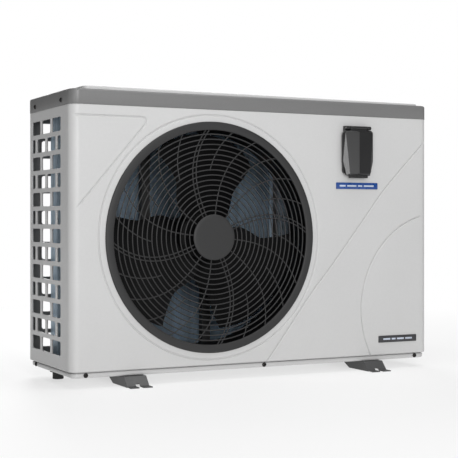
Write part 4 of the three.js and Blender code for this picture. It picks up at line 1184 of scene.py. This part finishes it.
def controller_cover():
    """A faceted flip-up cover with a knuckle on the pin and a ribbed thumb lip."""
    low, high = cabinet_box("controller_cover")
    x = (low.x + high.x) / 2
    pin_y, pin_z = hinge_line()
    back = cabinet_box("controller_screen")[0].y
    verts, faces = cover_hull((high.x - low.x) / 2, back, low.y, pin_z - 5.2, low.z + 6)
    shell = tray("controller_cover_shell", ([v + Vector((x, 0, 0)) for v in verts], faces), "control_black",
                 (0, -1, 0), 1.8, body="cover", replaces=["controller_cover"], angle=8)
    soften(shell, 0.9, 3, 8)
    hinge = Shape().add(*knuckle(x - KNUCKLE, x + KNUCKLE))
    hinge.add(*block((x - KNUCKLE, pin_y - 4.2, pin_z - 8), (x + KNUCKLE, pin_y + 1.2, pin_z - 3.6)))
    hinge.add(*block((x - 26, back - 7, low.z), (x + 26, back - 0.4, low.z + 8)))
    for rib in range(-20, 21, 10):
        left, right = x + rib - 1.2, x + rib + 1.2
        hinge.add(*block((left, back - 7.6, low.z + 1.5), (right, back - 6.8, low.z + 6.5)))
    soften(hinge.make("controller_cover_hinge", "control_black", body="cover"), 0.7, 3, 40)


def badges():
    """A plain blue plate and a plain dark plate with generic bars in place of lettering."""
    bars = {"front_badge": ("badge_blue", ((0.08, 0.22), (0.26, 0.48), (0.52, 0.62), (0.66, 0.90))),
            "model_badge": ("badge_grey", ((0.12, 0.30), (0.34, 0.44), (0.48, 0.66), (0.70, 0.88)))}
    for node, (material, spans) in bars.items():
        low, high = cabinet_box(node)
        section = ((0, high.y), (0, low.y + 0.7), (0.25, low.y + 0.3), (0.8, low.y + 0.15))
        plate = Shape().add(*stepped(low, high, "y", section, (1.6, 0, 0), 4))
        plate.make(f"{node}_plate", material, replaces=[node])
        marks = Shape()
        width, height = high.x - low.x, high.z - low.z
        z0, z1 = low.z + height * 0.38, low.z + height * 0.62
        for a, b in spans:
            marks.add(*block((low.x + width * a, low.y, z0), (low.x + width * b, low.y + 0.4, z1)))
        marks.make(f"{node}_marks", "badge_mark", slot="key")


# ---------------------------------------------------------------- all pieces
for build in (front_panel, left_guard, rear_guard, rear_service_panel, right_side_panel, top_band, top_lid,
              base_pan):
    build()
for foot_name in ("foot_left", "foot_right"):
    foot(foot_name)
for build in (fasteners, fan_guard, fan_duct, fan_rotor, fan_nut, fan_motor, evaporator):
    build()
for port in ("inlet", "outlet"):
    water_union(port)
for build in (terminal_cover, cable_gland, drain_nozzle, controller, controller_cover, badges):
    build()

# The CAD nodes that still show take the material of their slot in the record.
SLOT_OF = {entry["node"]: entry["material_slot"] for entry in frame["record"]["subparts"]}
for node_name, node in frame["nodes"].items():
    node.data.materials.clear()
    node.data.materials.append(MATERIALS[SLOT_OF[node_name]])


# ---------------------------------------------------------------- stage, light and camera
def studio_floor():
    bm = bmesh.new()
    bmesh.ops.create_circle(bm, cap_ends=True, segments=96, radius=9.0)
    mesh = bpy.data.meshes.new("studio_floor")
    bm.to_mesh(mesh)
    bm.free()
    floor = placed("studio_floor", mesh)
    n = material_nodes("studio_floor")
    away = n.node("ShaderNodeVectorMath", {"operation": "LENGTH"}, Vector=n.place).outputs["Value"]
    glow = n.node("ShaderNodeEmission", Color=(1, 1, 1, 1), Strength=1.0).outputs["Emission"]
    n.finish((0.9, 0.9, 0.9, 1.0), 0.6)
    blend = n.node("ShaderNodeMixShader", Fac=n.span(away, 0.6, 1.0, 0.7, 2.2))
    n.feed(blend.inputs[1], n.shader.outputs["BSDF"])
    n.feed(blend.inputs[2], glow)
    n.feed(n.tree.nodes["Material Output"].inputs["Surface"], blend.outputs["Shader"])
    mesh.materials.append(n.owner)


def studio_world():
    """White behind the object, and dimmer for what lights it, with one broad soft light in front."""
    world = bpy.context.scene.world = bpy.data.worlds.new("studio")
    n = Nodes(world, "Generated")
    toward = n.node("ShaderNodeVectorMath", {"operation": "DOT_PRODUCT"})
    n.feed(toward.inputs[0], n.place)
    n.feed(toward.inputs[1], (-0.25, -0.97, 0.0))
    strength = n.span(toward.outputs["Value"], 0.14, 1.4, 0.7, 0.96)
    strength.node.interpolation_type = "SMOOTHSTEP"
    white = (1, 1, 1, 1)
    seen = n.node("ShaderNodeBackground", Color=white, Strength=1.0).outputs["Background"]
    light = n.node("ShaderNodeBackground", Color=white, Strength=strength).outputs["Background"]
    camera_ray = n.node("ShaderNodeLightPath").outputs["Is Camera Ray"]
    both = n.node("ShaderNodeMixShader", Fac=camera_ray)
    n.feed(both.inputs[1], light)
    n.feed(both.inputs[2], seen)
    n.feed(n.tree.nodes["World Output"].inputs["Surface"], both.outputs["Shader"])


def area_light(name, place, target, size, power):
    light = bpy.data.lights.new(name, "AREA")
    light.shape = "RECTANGLE"
    light.size, light.size_y = size
    light.energy = power
    made = placed(name, light)
    made.location = place
    made.rotation_euler = (Vector(target) - Vector(place)).to_track_quat("-Z", "Y").to_euler()


EYE = Vector((-872.0, -2448.0, 372.5))
TURN = -26.3  # degrees from straight on


def camera():
    """A level viewpoint to the left of the object."""
    data = bpy.data.cameras.new("camera")
    data.sensor_width = 36.0
    data.lens = 92.8
    data.shift_x = 0.044
    data.shift_y = -0.02
    made = placed("camera", data)
    made.location = ORIGIN + EYE * MM
    made.rotation_euler = (math.radians(90), 0, math.radians(TURN))
    bpy.context.scene.camera = made


studio_floor()
studio_world()
area_light("key", (-0.85, -3.55, 1.15), (0, 0, 0.35), (0.9, 2.0), 54)
area_light("top", (0.2, -0.9, 3.2), (0, -0.2, 0.2), (2.6, 2.2), 62)
area_light("back", (0.9, 3.0, 1.5), (0, 0, 0.35), (1.6, 1.6), 60)
area_light("side", (-2.4, -2.3, 0.6), (0, 0, 0.3), (0.8, 0.8), 8)
camera()
bpy.context.scene.view_settings.view_transform = "Standard"
